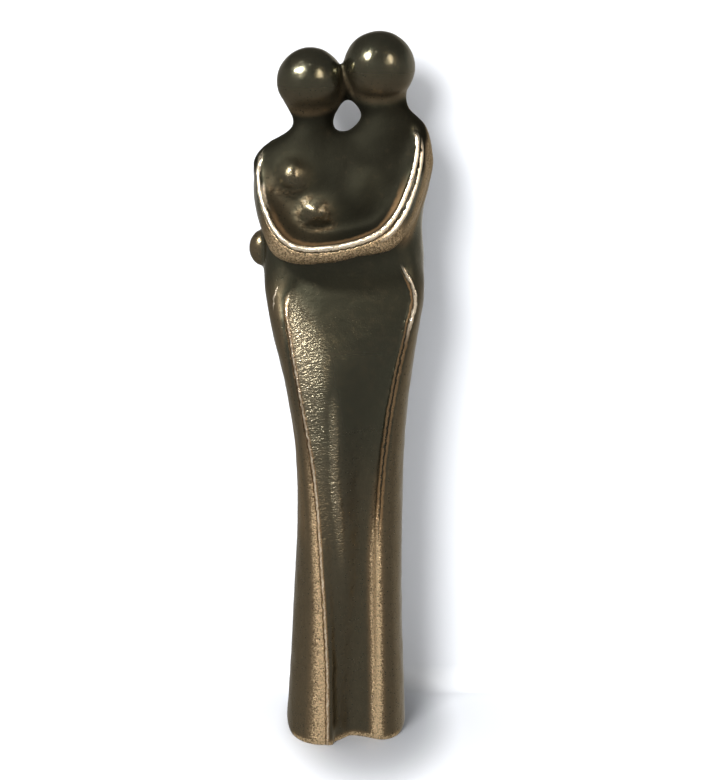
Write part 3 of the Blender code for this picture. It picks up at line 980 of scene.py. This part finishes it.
def rim_places(places, crest):
    """1 on the rims of the baby's wrap, seen from the front, and 0 away from them."""
    nearest = np.full(len(places), UNREACHED)
    near = np.flatnonzero((crest > RIM_ZONE[0]) & (crest < RIM_ZONE[1]) & (places[:, 1] < -2))
    for rim in BABY_RIMS:
        for point in through([(x, 0, z) for x, z in rim], CREST_STEP_POINTS):
            away = np.hypot(places[near, 0] - point.x, places[near, 2] - point.z)
            nearest[near] = np.minimum(nearest[near], away)
    rims = bell(nearest, RIM_SPREAD) * rise(-crest, *RIM_FADE)
    spots = np.flatnonzero(rims > 0.02)
    rims[spots] *= np.clip(RIM_LEVEL + RIM_BREAKS * unevenness(places[spots], RIM_PITCH), 0.1, 1)
    return rims


def chased_lines(obj):
    """Distances to the chased lines and how far each line runs, by name."""
    places, facing = drawing_places(obj), normals(obj)
    x, y, z = places.T
    front = rise(-facing[:, 1], 0.0, 0.25) * rise(-y, 0.5, 2.0)
    crest, share, station = crest_distances(places)
    robe = front * (1 - run(share, BAND_SHARE) * (np.abs(crest) < UNREACHED))
    left, right = x - along_all(LEFT_HEM, z), x - along_all(RIGHT_HEM, z)
    near_crest = 1 - rise(np.abs(crest), *CREST_REACH)
    return {
        "left_hem": left,
        "left_run": robe * run(z, LEFT_HEM_RUN) * (1 - rise(np.abs(left), *HEM_REACH)),
        "left_gleam": front * run(z, LEFT_GLEAM_RUN) * (left > GLEAM_REACH[0]) * (left < GLEAM_REACH[1]),
        "right_hem": right,
        "right_run": robe * run(z, RIGHT_HEM_RUN) * (1 - rise(np.abs(right), *HEM_REACH)),
        "right_lip": robe * run(z, RIGHT_LIP_RUN) * (1 - rise(np.abs(right), *LIP_REACH)),
        "crest": crest,
        "crest_run": near_crest * run(station, CREST_RUN),
        "wide_run": near_crest * run(station, WIDE_RUN),
        "inner_run": INNER_STRENGTH * near_crest * run(station, INNER_RUN),
        "outer_run": near_crest * run(station, OUTER_RIDGE_RUN) * (crest > 0),
        "face": run(share, FACE_SHARE) * (crest > 0) * (crest < FACE_REACH) * run(station, FACE_RUN),
        "panel": robe * panel_reach(x, z, left),
        "rims": rim_places(places, crest),
    }


def panel_reach(x, z, left):
    """How strongly the lit panel is hammered and lightened with painted sheen: most beside its hem, and out
    to the fold.
    """
    top = PANEL_TOP[1] - PANEL_TOP[2] * (x - PANEL_TOP[0])
    off_fold = x - along_all(FOLD, z)
    reach = bell(np.maximum(left - 1, 0) / along_all(PANEL_SPREAD, z), 1) * along_all(PANEL_STRENGTH, z)
    reach *= rise(left, *PANEL_START) * (1 - rise(off_fold, *PANEL_END))
    reach *= 1 - rise(z - top, *PANEL_TOP_FADE)
    crease = bell(off_fold - CREASE_PLACE, CREASE_SPREAD) * run(z, CREASE_RUN)
    return np.maximum(reach, CREASE_STRENGTH * crease)


class BRONZE_OT_chase(bpy.types.Operator):
    """Chases the hems and edges, hammers the robe's lit panel and notes where the metal is rubbed"""

    bl_idname = "bronze.chase"
    bl_label = "Chase the Metal"

    def execute(self, context):
        settings = context.scene.bronze
        figure = bpy.data.objects["bronze_figure"]
        refine_along_lines(figure)
        lines = chased_lines(figure)
        places, facing = drawing_places(figure), normals(figure)
        raised = chased_relief(lines) + SKIN_WAVE * unevenness(places, SKIN_PITCH)
        modelled = baby_mask(places)
        baby = np.flatnonzero(modelled > 0.01)
        raised[baby] += BABY_WAVE * modelled[baby] * unevenness(places[baby], BABY_PITCH)
        panel = np.flatnonzero(lines["panel"] > 0)
        marks = unevenness(places[panel], np.array(HAMMER_PITCH))
        raised[panel] += settings.hammering / unit() * marks * lines["panel"][panel]
        places += facing * raised[:, None]
        places[:, 2] = np.maximum(places[:, 2], 0)
        moved = places * unit() + np.array(figure["drawing_shift"])
        figure.data.vertices.foreach_set("co", moved.astype(np.float32).ravel())
        figure.data.update()
        lines["rubbed"] = rubbed_places(figure, lines)
        lines["dull_and_shade"] = dull_and_shade_places(figure, lines)
        for name in ATTRIBUTES:
            set_attribute(figure, name, lines[name])
        figure.data.shade_smooth()
        return {"FINISHED"}


def refine_along_lines(figure):
    """Divides the faces beside the chased lines, so that the lines stay crisp."""
    lines = chased_lines(figure)
    near = np.zeros(len(figure.data.vertices), bool)
    for line, runs, low, high in REFINED_STRIPS:
        near |= (lines[line] > low) & (lines[line] < high) & (lines[runs] > 0.1)
    deselect()
    bpy.context.view_layer.objects.active = figure
    figure.select_set(True)
    bpy.ops.object.mode_set(mode="EDIT")
    bpy.ops.mesh.select_mode(type="VERT")
    bpy.ops.mesh.select_all(action="DESELECT")
    bpy.ops.object.mode_set(mode="OBJECT")
    figure.data.vertices.foreach_set("select", near)
    bpy.ops.object.mode_set(mode="EDIT")
    bpy.ops.mesh.select_mode(type="FACE")
    bpy.ops.mesh.subdivide(number_cuts=1)
    bpy.ops.mesh.vertices_smooth(factor=0.5, repeat=2)
    bpy.ops.object.mode_set(mode="OBJECT")


def chased_relief(lines):
    """How far the chased lines stand proud of the skin, in drawing units."""
    raised = RIM_RISE * lines["rims"]
    for line, runs, place, height, spread in CHASED_RELIEF:
        raised = raised + height * bell(lines[line] - place, spread) * lines[runs]
    return raised


def rubbed_places(figure, lines):
    """Where the metal is rubbed: proud places, the arms' face, and the robe's edges near the floor."""
    places, facing = drawing_places(figure), normals(figure)
    ends = edge_ends(figure)
    even = [smoothed(places[:, axis].copy(), ends, CONVEXITY_PASSES) for axis in range(3)]
    proud = np.einsum("ij,ij->i", places - np.stack(even, axis=1), facing)
    x, y, z = places.T
    left, right, crest = lines["left_hem"], lines["right_hem"], lines["crest"]
    front, behind = rise(-facing[:, 1], 0.2, 0.5), rise(y, -1, 3)
    left_strip = bell(np.minimum(left, 0) / along_all(LEFT_RUB_WIDTH, z), 0.8) * rise(-left, *LEFT_STRIP_EDGE)
    right_strip = bell(right - RIGHT_STRIP_PLACE, RIGHT_STRIP_SPREAD)
    flanks = np.maximum.reduce((rise(-left, *FLANK_EDGE), rise(right, *FLANK_EDGE), rise(y, -1, 1)))
    flank_fade = [side + (back - side) * behind for side, back in zip(FLANK_FADE, BACK_FADE)]
    between = (1 - np.maximum(rise(-left, -1, 0), rise(right, -1, 0))) * (y < 0)
    waist = rise(-left, *WAIST_EDGE) * run(z, WAIST) * rise(-y, 0, 5)
    outer_arm = run(crest, OUTER_ARM) * rise(x, *OUTER_ARM_SIDE) * rise(z, *OUTER_ARM_FOOT)
    bowl = (crest < 0) * run(-crest, BOWL_DEPTHS) * run(z, BOWL) * (1 - rise(x, *BOWL_SIDE)) * (y < 0)
    inside = run(crest, CREST_INSIDE) * lines["inner_run"] * (1 - rise(x, *INSIDE_SIDE))
    rubs = (
        PROUD_RUB * rise(proud, *PROUD) * (1 - rise(z, *PROUD_FADE)),
        FACE_RUB * lines["face"],
        LEFT_STRIP_RUB * left_strip * front * (1 - rise(z, *LEFT_STRIP_FADE)),
        RIGHT_STRIP_RUB * right_strip * front * (1 - rise(z, *RIGHT_STRIP_FADE)),
        lines["panel"] * along_all(PANEL_RUB, z),
        FLANK_RUB * flanks * (1 - rise(z, *flank_fade)),
        FLANK_RUB * ball_mask(places, HAND, HAND_RADIUS) * rise(-x, *HAND_SIDE),
        FRONT_RUB * between * (1 - rise(z, *FRONT_FADE)),
        WAIST_RUB * waist,
        # Rubbed and painted reflection on the outer side of the man's arm
        ARM_RUB_AND_PAINTED_REFLECTION * outer_arm,
        HEAD_RUB * head_masks(places)[1],
        BABY_RUB * baby_mask(places),
        RIM_RUB * lines["rims"],
        INSIDE_RUB * inside,
        BOWL_RUB * bowl,
        FLOOR_RUB * front * (1 - rise(z, *FLOOR_FADE)),
    )
    return smoothed(np.maximum.reduce(rubs), ends, 2)


def head_masks(places):
    """1 on the two heads, and 1 on their satin lower halves."""
    masks = []
    for centre, radii in HEADS:
        head = ball_mask(places, centre, radii)
        masks.append((head, head * (1 - rise(places[:, 2] - centre[2], *SATIN_HALF))))
    return np.max(masks, axis=0)


def dull_and_shade_places(figure, lines):
    """Where the patina is dull and darkened with painted shade: the necks, the hollow of the arms and below
    it, and a little on the robe.
    """
    places = drawing_places(figure)
    x, y, z = places.T
    off_crest = -lines["crest"]
    heads, satin = head_masks(places)
    weld = ball_mask(places, HEAD_WELD, [WELD_REACH * radius for radius in HEAD_WELD_RADIUS])
    polished = np.maximum(heads * rise(z, *CHINS) * (1 - weld), baby_mask(places))
    breast = rise(np.hypot(x - BREAST[0], z - BREAST[1]), *BREAST_REACH)
    # Painted shade in the hollow of the arms, less of it on the breast, and on the necks and shoulders
    hollow = (off_crest > 0) * rise(off_crest, *HOLLOW_EDGE) * rise(z, *HOLLOW_FOOT)
    hollow *= 1 - BREAST_GLOSS * (1 - breast)
    before = 1 - rise(y, -2, 3)
    shoulders = before * rise(z, *FRONT_SHOULDERS) + (1 - before) * BACK_DULL * rise(z, *BACK_SHOULDERS)
    dull_and_shade = np.maximum(hollow * before, shoulders * (np.abs(off_crest) > HOLLOW_EDGE[0]))
    # Painted shadow of the band of arms on the robe below it
    under = run(z, UNDER_ARMS) * rise(-y, 2, 5) * (lines["face"] < 0.1)
    dull_and_shade = np.maximum(dull_and_shade, ROBE_DULL * (1 - rise(z, *ROBE_TOP)) + UNDER_BAND_PAINTED_SHADE * under)
    dull_and_shade = np.maximum(dull_and_shade * (1 - polished), SATIN_DULL * satin)
    return smoothed(dull_and_shade, edge_ends(figure), 6)


def feed(tree, socket, value):
    """Joins a socket to another, or gives it a value."""
    if isinstance(value, bpy.types.NodeSocket):
        tree.links.new(value, socket)
    else:
        socket.default_value = value


def sum_node(tree, operation, *values, clamp=False):
    node = tree.nodes.new("ShaderNodeMath")
    node.operation = operation
    node.use_clamp = clamp
    for socket, value in zip(node.inputs, values):
        feed(tree, socket, value)
    return node.outputs[0]


def range_node(tree, value, low, high, to_low=0.0, to_high=1.0):
    """A smooth step of a value."""
    node = tree.nodes.new("ShaderNodeMapRange")
    node.interpolation_type = "SMOOTHSTEP"
    for label, given in (
        ("Value", value), ("From Min", low), ("From Max", high), ("To Min", to_low), ("To Max", to_high),
    ):
        feed(tree, node.inputs[label], given)
    return node.outputs["Result"]


def colour_node(tree, share, first, second):
    node = tree.nodes.new("ShaderNodeMix")
    node.data_type = "RGBA"
    feed(tree, node.inputs["Factor"], share)
    feed(tree, node.inputs[6], first)
    feed(tree, node.inputs[7], second)
    return node.outputs[2]


def noise_node(tree, coordinates, scale, detail, roughness=0.55):
    node = tree.nodes.new("ShaderNodeTexNoise")
    feed(tree, node.inputs["Vector"], coordinates)
    feed(tree, node.inputs["Scale"], scale)
    node.inputs["Detail"].default_value = detail
    node.inputs["Roughness"].default_value = roughness
    return node.outputs["Fac"]


def new_group(name, inputs, outputs):
    """An empty node group with the given sockets, what its inputs give and what its outputs take."""
    tree = bpy.data.node_groups.new(name, "ShaderNodeTree")
    for label, kind, value in inputs:
        socket = tree.interface.new_socket(name=label, in_out="INPUT", socket_type="NodeSocket" + kind)
        if value is not None:
            socket.default_value = value
    for label, kind in outputs:
        tree.interface.new_socket(name=label, in_out="OUTPUT", socket_type="NodeSocket" + kind)
    return tree, tree.nodes.new("NodeGroupInput").outputs, tree.nodes.new("NodeGroupOutput").inputs


def placed(tree, group, **values):
    """What a group placed in a tree gives. Underscores in the names of its inputs stand for spaces."""
    node = tree.nodes.new("ShaderNodeGroup")
    node.node_tree = group
    for label, value in values.items():
        feed(tree, node.inputs[label.replace("_", " ")], value)
    return node.outputs


def edge_line_group():
    """A soft-edged line at a given place across a chased edge."""
    tree, given, result = new_group(
        "edge_line",
        (
            ("Distance", "Float", 0.0), ("Place", "Float", 0.0), ("Half width", "Float", 0.2),
            ("Softness", "Float", 0.15), ("Run", "Float", 1.0),
        ),
        (("Mask", "Float"),),
    )
    away = sum_node(tree, "ABSOLUTE", sum_node(tree, "SUBTRACT", given["Distance"], given["Place"]))
    rim = sum_node(tree, "ADD", given["Half width"], given["Softness"])
    inside = range_node(tree, away, given["Half width"], rim, 1.0, 0.0)
    feed(tree, result["Mask"], times(tree, inside, given["Run"]))
    return tree


def cast_grain_group():
    """The fine grain, speckle and pits of cast bronze."""
    tree, given, result = new_group(
        "cast_grain",
        (("Coordinates", "Vector", None), ("Grain scale", "Float", GRAIN_SCALE)),
        (("Height", "Float"), ("Speckle", "Float"), ("Pits", "Float"), ("Cloud", "Float")),
    )
    coordinates, scale = given["Coordinates"], given["Grain scale"]
    fine = noise_node(tree, coordinates, scale, 3.0, 0.6)
    cells = tree.nodes.new("ShaderNodeTexVoronoi")
    feed(tree, cells.inputs["Vector"], coordinates)
    feed(tree, cells.inputs["Scale"], times(tree, scale, PIT_SCALE))
    pits = range_node(tree, cells.outputs["Distance"], *PIT_EDGE, 1.0, 0.0)
    pits = times(tree, pits, range_node(tree, cells.outputs["Color"], *PIT_CHOICE))
    feed(tree, result["Height"], sum_node(tree, "SUBTRACT", fine, times(tree, pits, PIT_DEPTH)))
    feed(tree, result["Speckle"], range_node(tree, fine, *SPECKLE_EDGE))
    feed(tree, result["Pits"], pits)
    feed(tree, result["Cloud"], noise_node(tree, coordinates, times(tree, scale, CLOUD_SCALE), 3.0))
    return tree


def worn_patina_group():
    """Colour and roughness from dark patina through thin brown to bare bronze."""
    tree, given, result = new_group(
        "worn_patina",
        (
            ("Wear", "Float", 0.0), ("Speckle", "Float", 0.5), ("Pits", "Float", 0.0),
            ("Cloud", "Float", 0.5), ("Patina", "Color", None), ("Brown", "Color", None),
            ("Bronze", "Color", None), ("Patina roughness", "Float", PATINA_ROUGHNESS[0]),
            ("Bronze roughness", "Float", BRONZE_ROUGHNESS),
        ),
        (("Colour", "Color"), ("Roughness", "Float"), ("Thin", "Float"), ("Bare", "Float")),
    )
    rubbed = given["Wear"]
    wear = sum_node(tree, "SUBTRACT", rubbed, times(tree, given["Pits"], WEAR_IN_PITS))
    cubed = times(tree, rubbed, rubbed, rubbed)
    reach = sum_node(tree, "MULTIPLY_ADD", cubed, MOTTLE_BY_WEAR, MOTTLE_LEAST, clamp=True)
    mottled = times(tree, sum_node(tree, "SUBTRACT", given["Speckle"], 0.5), reach)
    wear = sum_node(tree, "MULTIPLY_ADD", mottled, MOTTLE, wear)
    thin = range_node(tree, wear, *THIN_WEAR)
    bare = range_node(tree, wear, *BARE_WEAR)
    cloud = range_node(tree, given["Cloud"], *CLOUD_EDGE, 0.0, CLOUD_BROWN)
    dark = colour_node(tree, cloud, given["Patina"], given["Brown"])
    colour = colour_node(tree, thin, dark, given["Brown"])
    feed(tree, result["Colour"], colour_node(tree, bare, colour, given["Bronze"]))
    span = sum_node(tree, "SUBTRACT", given["Bronze roughness"], given["Patina roughness"])
    feed(tree, result["Roughness"], sum_node(tree, "MULTIPLY_ADD", thin, span, given["Patina roughness"]))
    feed(tree, result["Thin"], thin)
    feed(tree, result["Bare"], bare)
    return tree


def attribute_node(tree, name):
    node = tree.nodes.new("ShaderNodeAttribute")
    node.attribute_name = name
    return node.outputs["Fac"]


def chain(tree, operation, values):
    """Values joined one after another by an operation."""
    result = values[0]
    for value in values[1:]:
        result = sum_node(tree, operation, result, value)
    return result


def greatest(tree, *values):
    return chain(tree, "MAXIMUM", values)


def times(tree, *values):
    return chain(tree, "MULTIPLY", values)


def shaded(colour, share):
    """A darker shade of a colour."""
    return (*(part * share for part in colour), 1)


def chased_masks(tree, coordinates, at):
    """The bright, brown and grooved lines, each as one mask."""
    group = edge_line_group()
    waver = sum_node(tree, "MULTIPLY_ADD", noise_node(tree, coordinates, WAVER_SCALE, 2.0), WAVER, -WAVER / 2)

    def lines(edges):
        masks = []
        for distance, runs, place, half_width, softness in edges:
            wavering = sum_node(tree, "ADD", at[distance], waver)
            masks.append(
                placed(
                    tree, group, Distance=wavering, Run=at[runs], Place=place, Half_width=half_width,
                    Softness=softness,
                )["Mask"]
            )
        return greatest(tree, *masks)

    gaps = range_node(tree, noise_node(tree, coordinates, GAP_SCALE, 1.0), *GAPS)
    bright = greatest(tree, times(tree, lines(BROKEN_LINES), gaps), lines(BRIGHT_LINES))
    return bright, lines(BROWN_LINES), lines(GROOVES)


def grain_bump(tree, coordinates, grain, textured, bare, groove):
    """The normal of the cast grain, the hammering, the wobble of the skin and the grooves."""
    rough_places = range_node(tree, bare, *GRAIN_BY_WEAR)
    height = times(tree, grain["Height"], rough_places)
    height = sum_node(tree, "SUBTRACT", height, times(tree, groove, GROOVE_DEPTH))
    stretched = tree.nodes.new("ShaderNodeMapping")
    feed(tree, stretched.inputs["Vector"], coordinates)
    stretched.inputs["Scale"].default_value = HAMMER_STRETCH
    stretched.inputs["Rotation"].default_value = (0, HAMMER_SLANT, 0)
    hammered = noise_node(tree, stretched.outputs["Vector"], HAMMER_SCALE, 2.0, 0.5)
    height = sum_node(tree, "ADD", height, times(tree, hammered, textured, HAMMER_RELIEF))
    wobble = noise_node(tree, coordinates, WOBBLE_SCALE, 1.0)
    bump = tree.nodes.new("ShaderNodeBump")
    bump.inputs["Strength"].default_value = GRAIN_STRENGTH
    bump.inputs["Distance"].default_value = GRAIN_DEPTH
    feed(tree, bump.inputs["Height"], sum_node(tree, "MULTIPLY_ADD", wobble, WOBBLE, height))
    return bump.outputs["Normal"]


def bronze_material(finish):
    """Dark patina with a gloss of wax over it, rubbed to bronze along the edges."""
    material = bpy.data.materials.new("dark_bronze_finish")
    material.use_nodes = True
    tree = material.node_tree
    shader = tree.nodes["Principled BSDF"].inputs
    coordinates = tree.nodes.new("ShaderNodeTexCoord").outputs["Object"]
    grain = placed(tree, cast_grain_group(), Coordinates=coordinates)
    at = {name: attribute_node(tree, name) for name in ATTRIBUTES}
    bright, brown, groove = chased_masks(tree, coordinates, at)
    unpitted = sum_node(tree, "SUBTRACT", 1.0, times(tree, grain["Pits"], POLISH_IN_PITS))
    bright = times(tree, bright, unpitted)

    # Painted shade: the patina is darkened where it is dull and shaded
    untouched = colour_node(tree, at["dull_and_shade"], (*finish.patina, 1), shaded(finish.patina, DULL_AND_PAINTED_SHADE))
    # Painted sheen on the hammered panel: lighter grey gold, partly rubbed high spots and partly the key
    # light where it falls
    untouched = colour_node(tree, at["panel"], untouched, (*finish.rub_and_painted_sheen, 1))
    textured = range_node(tree, at["panel"], *TEXTURE_EDGE)
    textured = greatest(tree, textured, times(tree, at["rims"], RIM_TEXTURE))
    roughness = range_node(tree, at["dull_and_shade"], 0.0, 1.0, *PATINA_ROUGHNESS)
    roughness = range_node(tree, textured, 0.0, TEXTURE_FULL, roughness, PANEL_ROUGHNESS)
    clear = sum_node(tree, "SUBTRACT", 1.0, times(tree, at["dull_and_shade"], CLOUD_IN_DULL))
    patina = placed(
        tree, worn_patina_group(), Wear=at["rubbed"], Speckle=grain["Speckle"], Pits=grain["Pits"],
        Cloud=times(tree, grain["Cloud"], clear), Patina=untouched, Brown=(*finish.brown, 1),
        Bronze=(*finish.bronze, 1), Patina_roughness=roughness,
    )
    brown = times(tree, brown, BROWN_SHARE)
    colour = colour_node(tree, brown, patina["Colour"], (*finish.edge_brown, 1))
    groove_colour = shaded(finish.patina, GROOVE_SHADE)
    colour = colour_node(tree, times(tree, groove, GROOVE_SHARE), colour, groove_colour)
    feed(tree, shader["Base Color"], colour_node(tree, bright, colour, (*finish.polished, 1)))
    roughness = range_node(tree, bright, 0.0, 1.0, patina["Roughness"], POLISHED_ROUGHNESS)
    feed(tree, shader["Roughness"], roughness)
    shader["Metallic"].default_value = METAL
    shader["Specular Tint"].default_value = EDGE_TINT
    shader["Coat Roughness"].default_value = COAT_ROUGHNESS
    unwaxed = greatest(tree, patina["Thin"], at["dull_and_shade"], textured)
    feed(tree, shader["Coat Weight"], range_node(tree, unwaxed, 0.0, COAT_FADE, COAT_WEIGHT, 0.0))
    bare = greatest(tree, patina["Bare"], bright)
    feed(tree, shader["Normal"], grain_bump(tree, coordinates, grain, textured, bare, groove))
    return material


class BRONZE_OT_finish(bpy.types.Operator):
    """Gives the figure its patina and hands it to the frame"""

    bl_idname = "bronze.finish"
    bl_label = "Patina"

    def execute(self, context):
        figure = bpy.data.objects["bronze_figure"]
        figure.data.materials.clear()
        figure.data.materials.append(bronze_material(context.scene.bronze_finish))
        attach(figure, "root")
        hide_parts(NODE)
        return {"FINISHED"}


def soft_light(name, target, power, direction, distance, size, colour):
    """A soft light, of a width and a height, that looks at a place."""
    place = target + Vector(direction).normalized() * distance
    bpy.ops.object.light_add(type="AREA", location=place)
    light = bpy.context.object
    light.name = name
    light.data.shape = "ELLIPSE"
    light.data.size, light.data.size_y = size
    light.data.energy = power
    light.data.color = colour
    light.rotation_euler = (target - place).to_track_quat("-Z", "Y").to_euler()
    return light


def select_edges(obj, wanted):
    """Selects the edges whose two ends are where they are wanted."""
    if obj.mode != "OBJECT":
        bpy.ops.object.mode_set(mode="OBJECT")
    bpy.ops.object.mode_set(mode="EDIT")
    bpy.ops.mesh.select_mode(type="EDGE")
    bpy.ops.mesh.select_all(action="DESELECT")
    bpy.ops.object.mode_set(mode="OBJECT")
    for edge in obj.data.edges:
        edge.select = bool(wanted(np.array([obj.data.vertices[v].co for v in edge.vertices])))


def paper_sweep():
    """Pale paper under the figure, with a bend up close behind it that can be seen through from behind."""
    deselect()
    bpy.ops.mesh.primitive_plane_add(size=STAGE_WIDTH, location=(0, WALL_PLACE - STAGE_WIDTH / 2, 0))
    sheet = bpy.context.object
    sheet.name = "stage_paper"
    bpy.ops.object.transform_apply(location=True, rotation=True, scale=True)
    select_edges(sheet, lambda ends: (ends[:, 1] > WALL_PLACE - 1e-4).all())
    bpy.ops.object.mode_set(mode="EDIT")
    bpy.ops.mesh.extrude_region_move(TRANSFORM_OT_translate={"value": (0, 0, STAGE_WIDTH)})
    select_edges(sheet, lambda ends: (ends[:, 1] > WALL_PLACE - 1e-4).all() and (ends[:, 2] < 1e-4).all())
    bpy.ops.object.mode_set(mode="EDIT")
    bpy.ops.mesh.bevel(offset=BEND_RADIUS, segments=BEND_SEGMENTS, affect="EDGES")
    bpy.ops.object.mode_set(mode="OBJECT")
    far = WALL_PLACE - BEND_RADIUS + STAGE_WIDTH / 2
    bpy.ops.mesh.primitive_plane_add(size=STAGE_WIDTH, location=(0, far, 0))
    sheet.select_set(True)
    bpy.context.view_layer.objects.active = sheet
    bpy.ops.object.join()
    sheet.data.shade_smooth()
    sheet.data.materials.append(paper_material())
    sheet.visible_glossy = False
    return sheet


def paper_material():
    """Matt paper with a soft shade painted round the figure, clear from behind."""
    paper = bpy.data.materials.new("pale_paper")
    paper.use_nodes = True
    tree = paper.node_tree
    shader = tree.nodes["Principled BSDF"]
    spot = tree.nodes.new("ShaderNodeSeparateXYZ")
    feed(tree, spot.inputs[0], tree.nodes.new("ShaderNodeTexCoord").outputs["Object"])
    width, depth = SHADE_REACH
    sideways = sum_node(tree, "MULTIPLY_ADD", spot.outputs["X"], 1 / width, -SHADE_PLACE / width)
    forwards = sum_node(tree, "MULTIPLY", spot.outputs["Y"], 1 / depth)
    squares = sum_node(tree, "ADD", times(tree, sideways, sideways), times(tree, forwards, forwards))
    away = sum_node(tree, "MULTIPLY_ADD", spot.outputs["Z"], SHADE_BY_HEIGHT, squares)
    pale = range_node(tree, away, *SHADE_EDGE)
    feed(tree, shader.inputs["Base Color"], colour_node(tree, pale, SHADE_COLOUR, PAPER_COLOUR))
    shader.inputs["Roughness"].default_value = PAPER_ROUGHNESS
    shader.inputs["Specular IOR Level"].default_value = PAPER_SPECULAR
    mix = tree.nodes.new("ShaderNodeMixShader")
    feed(tree, mix.inputs["Fac"], tree.nodes.new("ShaderNodeNewGeometry").outputs["Backfacing"])
    feed(tree, mix.inputs[1], shader.outputs[0])
    feed(tree, mix.inputs[2], tree.nodes.new("ShaderNodeBsdfTransparent").outputs[0])
    feed(tree, tree.nodes["Material Output"].inputs["Surface"], mix.outputs[0])
    return paper


def studio_world():
    """A room that is dim before the figure, pale behind it, and white where the camera sees it."""
    world = bpy.data.worlds.new("studio")
    world.use_nodes = True
    tree = world.node_tree
    background = tree.nodes["Background"]
    background.inputs["Color"].default_value = ROOM_COLOUR
    direction = tree.nodes.new("ShaderNodeTexCoord").outputs["Generated"]
    dot = tree.nodes.new("ShaderNodeVectorMath")
    dot.operation = "DOT_PRODUCT"
    feed(tree, dot.inputs[0], direction)
    feed(tree, dot.inputs[1], ROOM_AXIS)
    split = tree.nodes.new("ShaderNodeSeparateXYZ")
    feed(tree, split.inputs[0], direction)
    low = range_node(tree, split.outputs["Z"], *ROOM_TOP, 1.0, 0.0)
    pale = times(tree, range_node(tree, dot.outputs["Value"], *ROOM_TURN), low)
    dim = range_node(tree, split.outputs["Z"], *ROOM_TOP, *ROOM_DIM)
    room = sum_node(tree, "MULTIPLY_ADD", pale, ROOM_PALE, dim)
    rays = tree.nodes.new("ShaderNodeLightPath").outputs
    seen = times(tree, rays["Is Camera Ray"], WHITE)
    on_paper = times(tree, rays["Is Diffuse Ray"], ROOM_ON_PAPER)
    feed(tree, background.inputs["Strength"], greatest(tree, room, seen, on_paper))
    return world


class BRONZE_OT_stage(bpy.types.Operator):
    """Sets the pale floor and backdrop, the lights and the camera"""

    bl_idname = "bronze.stage"
    bl_label = "Stage"

    def execute(self, context):
        settings = context.scene.bronze_stage
        scene = context.scene
        deselect()
        paper = paper_sweep()
        shift = Vector(bpy.data.objects["bronze_figure"]["drawing_shift"])
        middle = shift + Vector((0, 0, FIGURE_MIDDLE * unit()))
        key = soft_light("key", middle, settings.key_power, *KEY_LIGHT)
        side = soft_light("side", middle, settings.side_power, *SIDE_LIGHT)
        wash = soft_light("wash", middle, WASH_POWER, *WASH_LIGHT)
        wash.visible_glossy = False
        key.visible_diffuse = False
        side.visible_diffuse = False
        scene.world = studio_world()
        scene.view_settings.view_transform = "Standard"

        tilt = settings.camera_elevation
        aim = middle + Vector((FRAME_SHIFT * unit(), 0, 0))
        place = aim + settings.camera_distance * Vector((0, -math.cos(tilt), math.sin(tilt)))
        bpy.ops.object.camera_add(location=place, rotation=(math.pi / 2 - tilt, 0, 0))
        camera = context.object
        camera.name = "photo_camera"
        camera.data.sensor_fit = "VERTICAL"
        camera.data.sensor_height = SENSOR_HEIGHT
        camera.data.lens = FOCAL_PIXELS / IMAGE_HEIGHT * SENSOR_HEIGHT
        camera.data.clip_start = NEAR_CLIP
        scene.camera = camera
        return {"FINISHED"}


OPERATORS = (
    BRONZE_OT_bodies, BRONZE_OT_heads, BRONZE_OT_arms, BRONZE_OT_baby, BRONZE_OT_fuse, BRONZE_OT_chase,
    BRONZE_OT_finish, BRONZE_OT_stage,
)


class BRONZE_PT_panel(bpy.types.Panel):
    """Lists the steps of the bronze and its settings"""

    bl_idname = "BRONZE_PT_panel"
    bl_label = "Couple with Baby"
    bl_space_type = "VIEW_3D"
    bl_region_type = "UI"
    bl_category = "Bronze"

    def draw(self, context):
        layout = self.layout
        for group in (context.scene.bronze, context.scene.bronze_finish, context.scene.bronze_stage):
            for label in group.__annotations__:
                layout.prop(group, label)
        for operator in OPERATORS:
            layout.operator(operator.bl_idname)


SETTINGS = {
    "bronze": BronzeSettings,
    "bronze_finish": FinishSettings,
    "bronze_stage": StageSettings,
}


def register():
    for kind in (*SETTINGS.values(), *OPERATORS, BRONZE_PT_panel):
        bpy.utils.register_class(kind)
    for name, kind in SETTINGS.items():
        setattr(bpy.types.Scene, name, bpy.props.PointerProperty(type=kind))


def unregister():
    for name in SETTINGS:
        delattr(bpy.types.Scene, name)
    for kind in (BRONZE_PT_panel, *OPERATORS, *SETTINGS.values()):
        bpy.utils.unregister_class(kind)


def main():
    register()
    bpy.ops.bronze.bodies()
    bpy.ops.bronze.heads()
    bpy.ops.bronze.arms()
    bpy.ops.bronze.baby()
    bpy.ops.bronze.fuse()
    bpy.ops.bronze.chase()
    bpy.ops.bronze.finish()
    bpy.ops.bronze.stage()


if __name__ == "__main__":
    main()
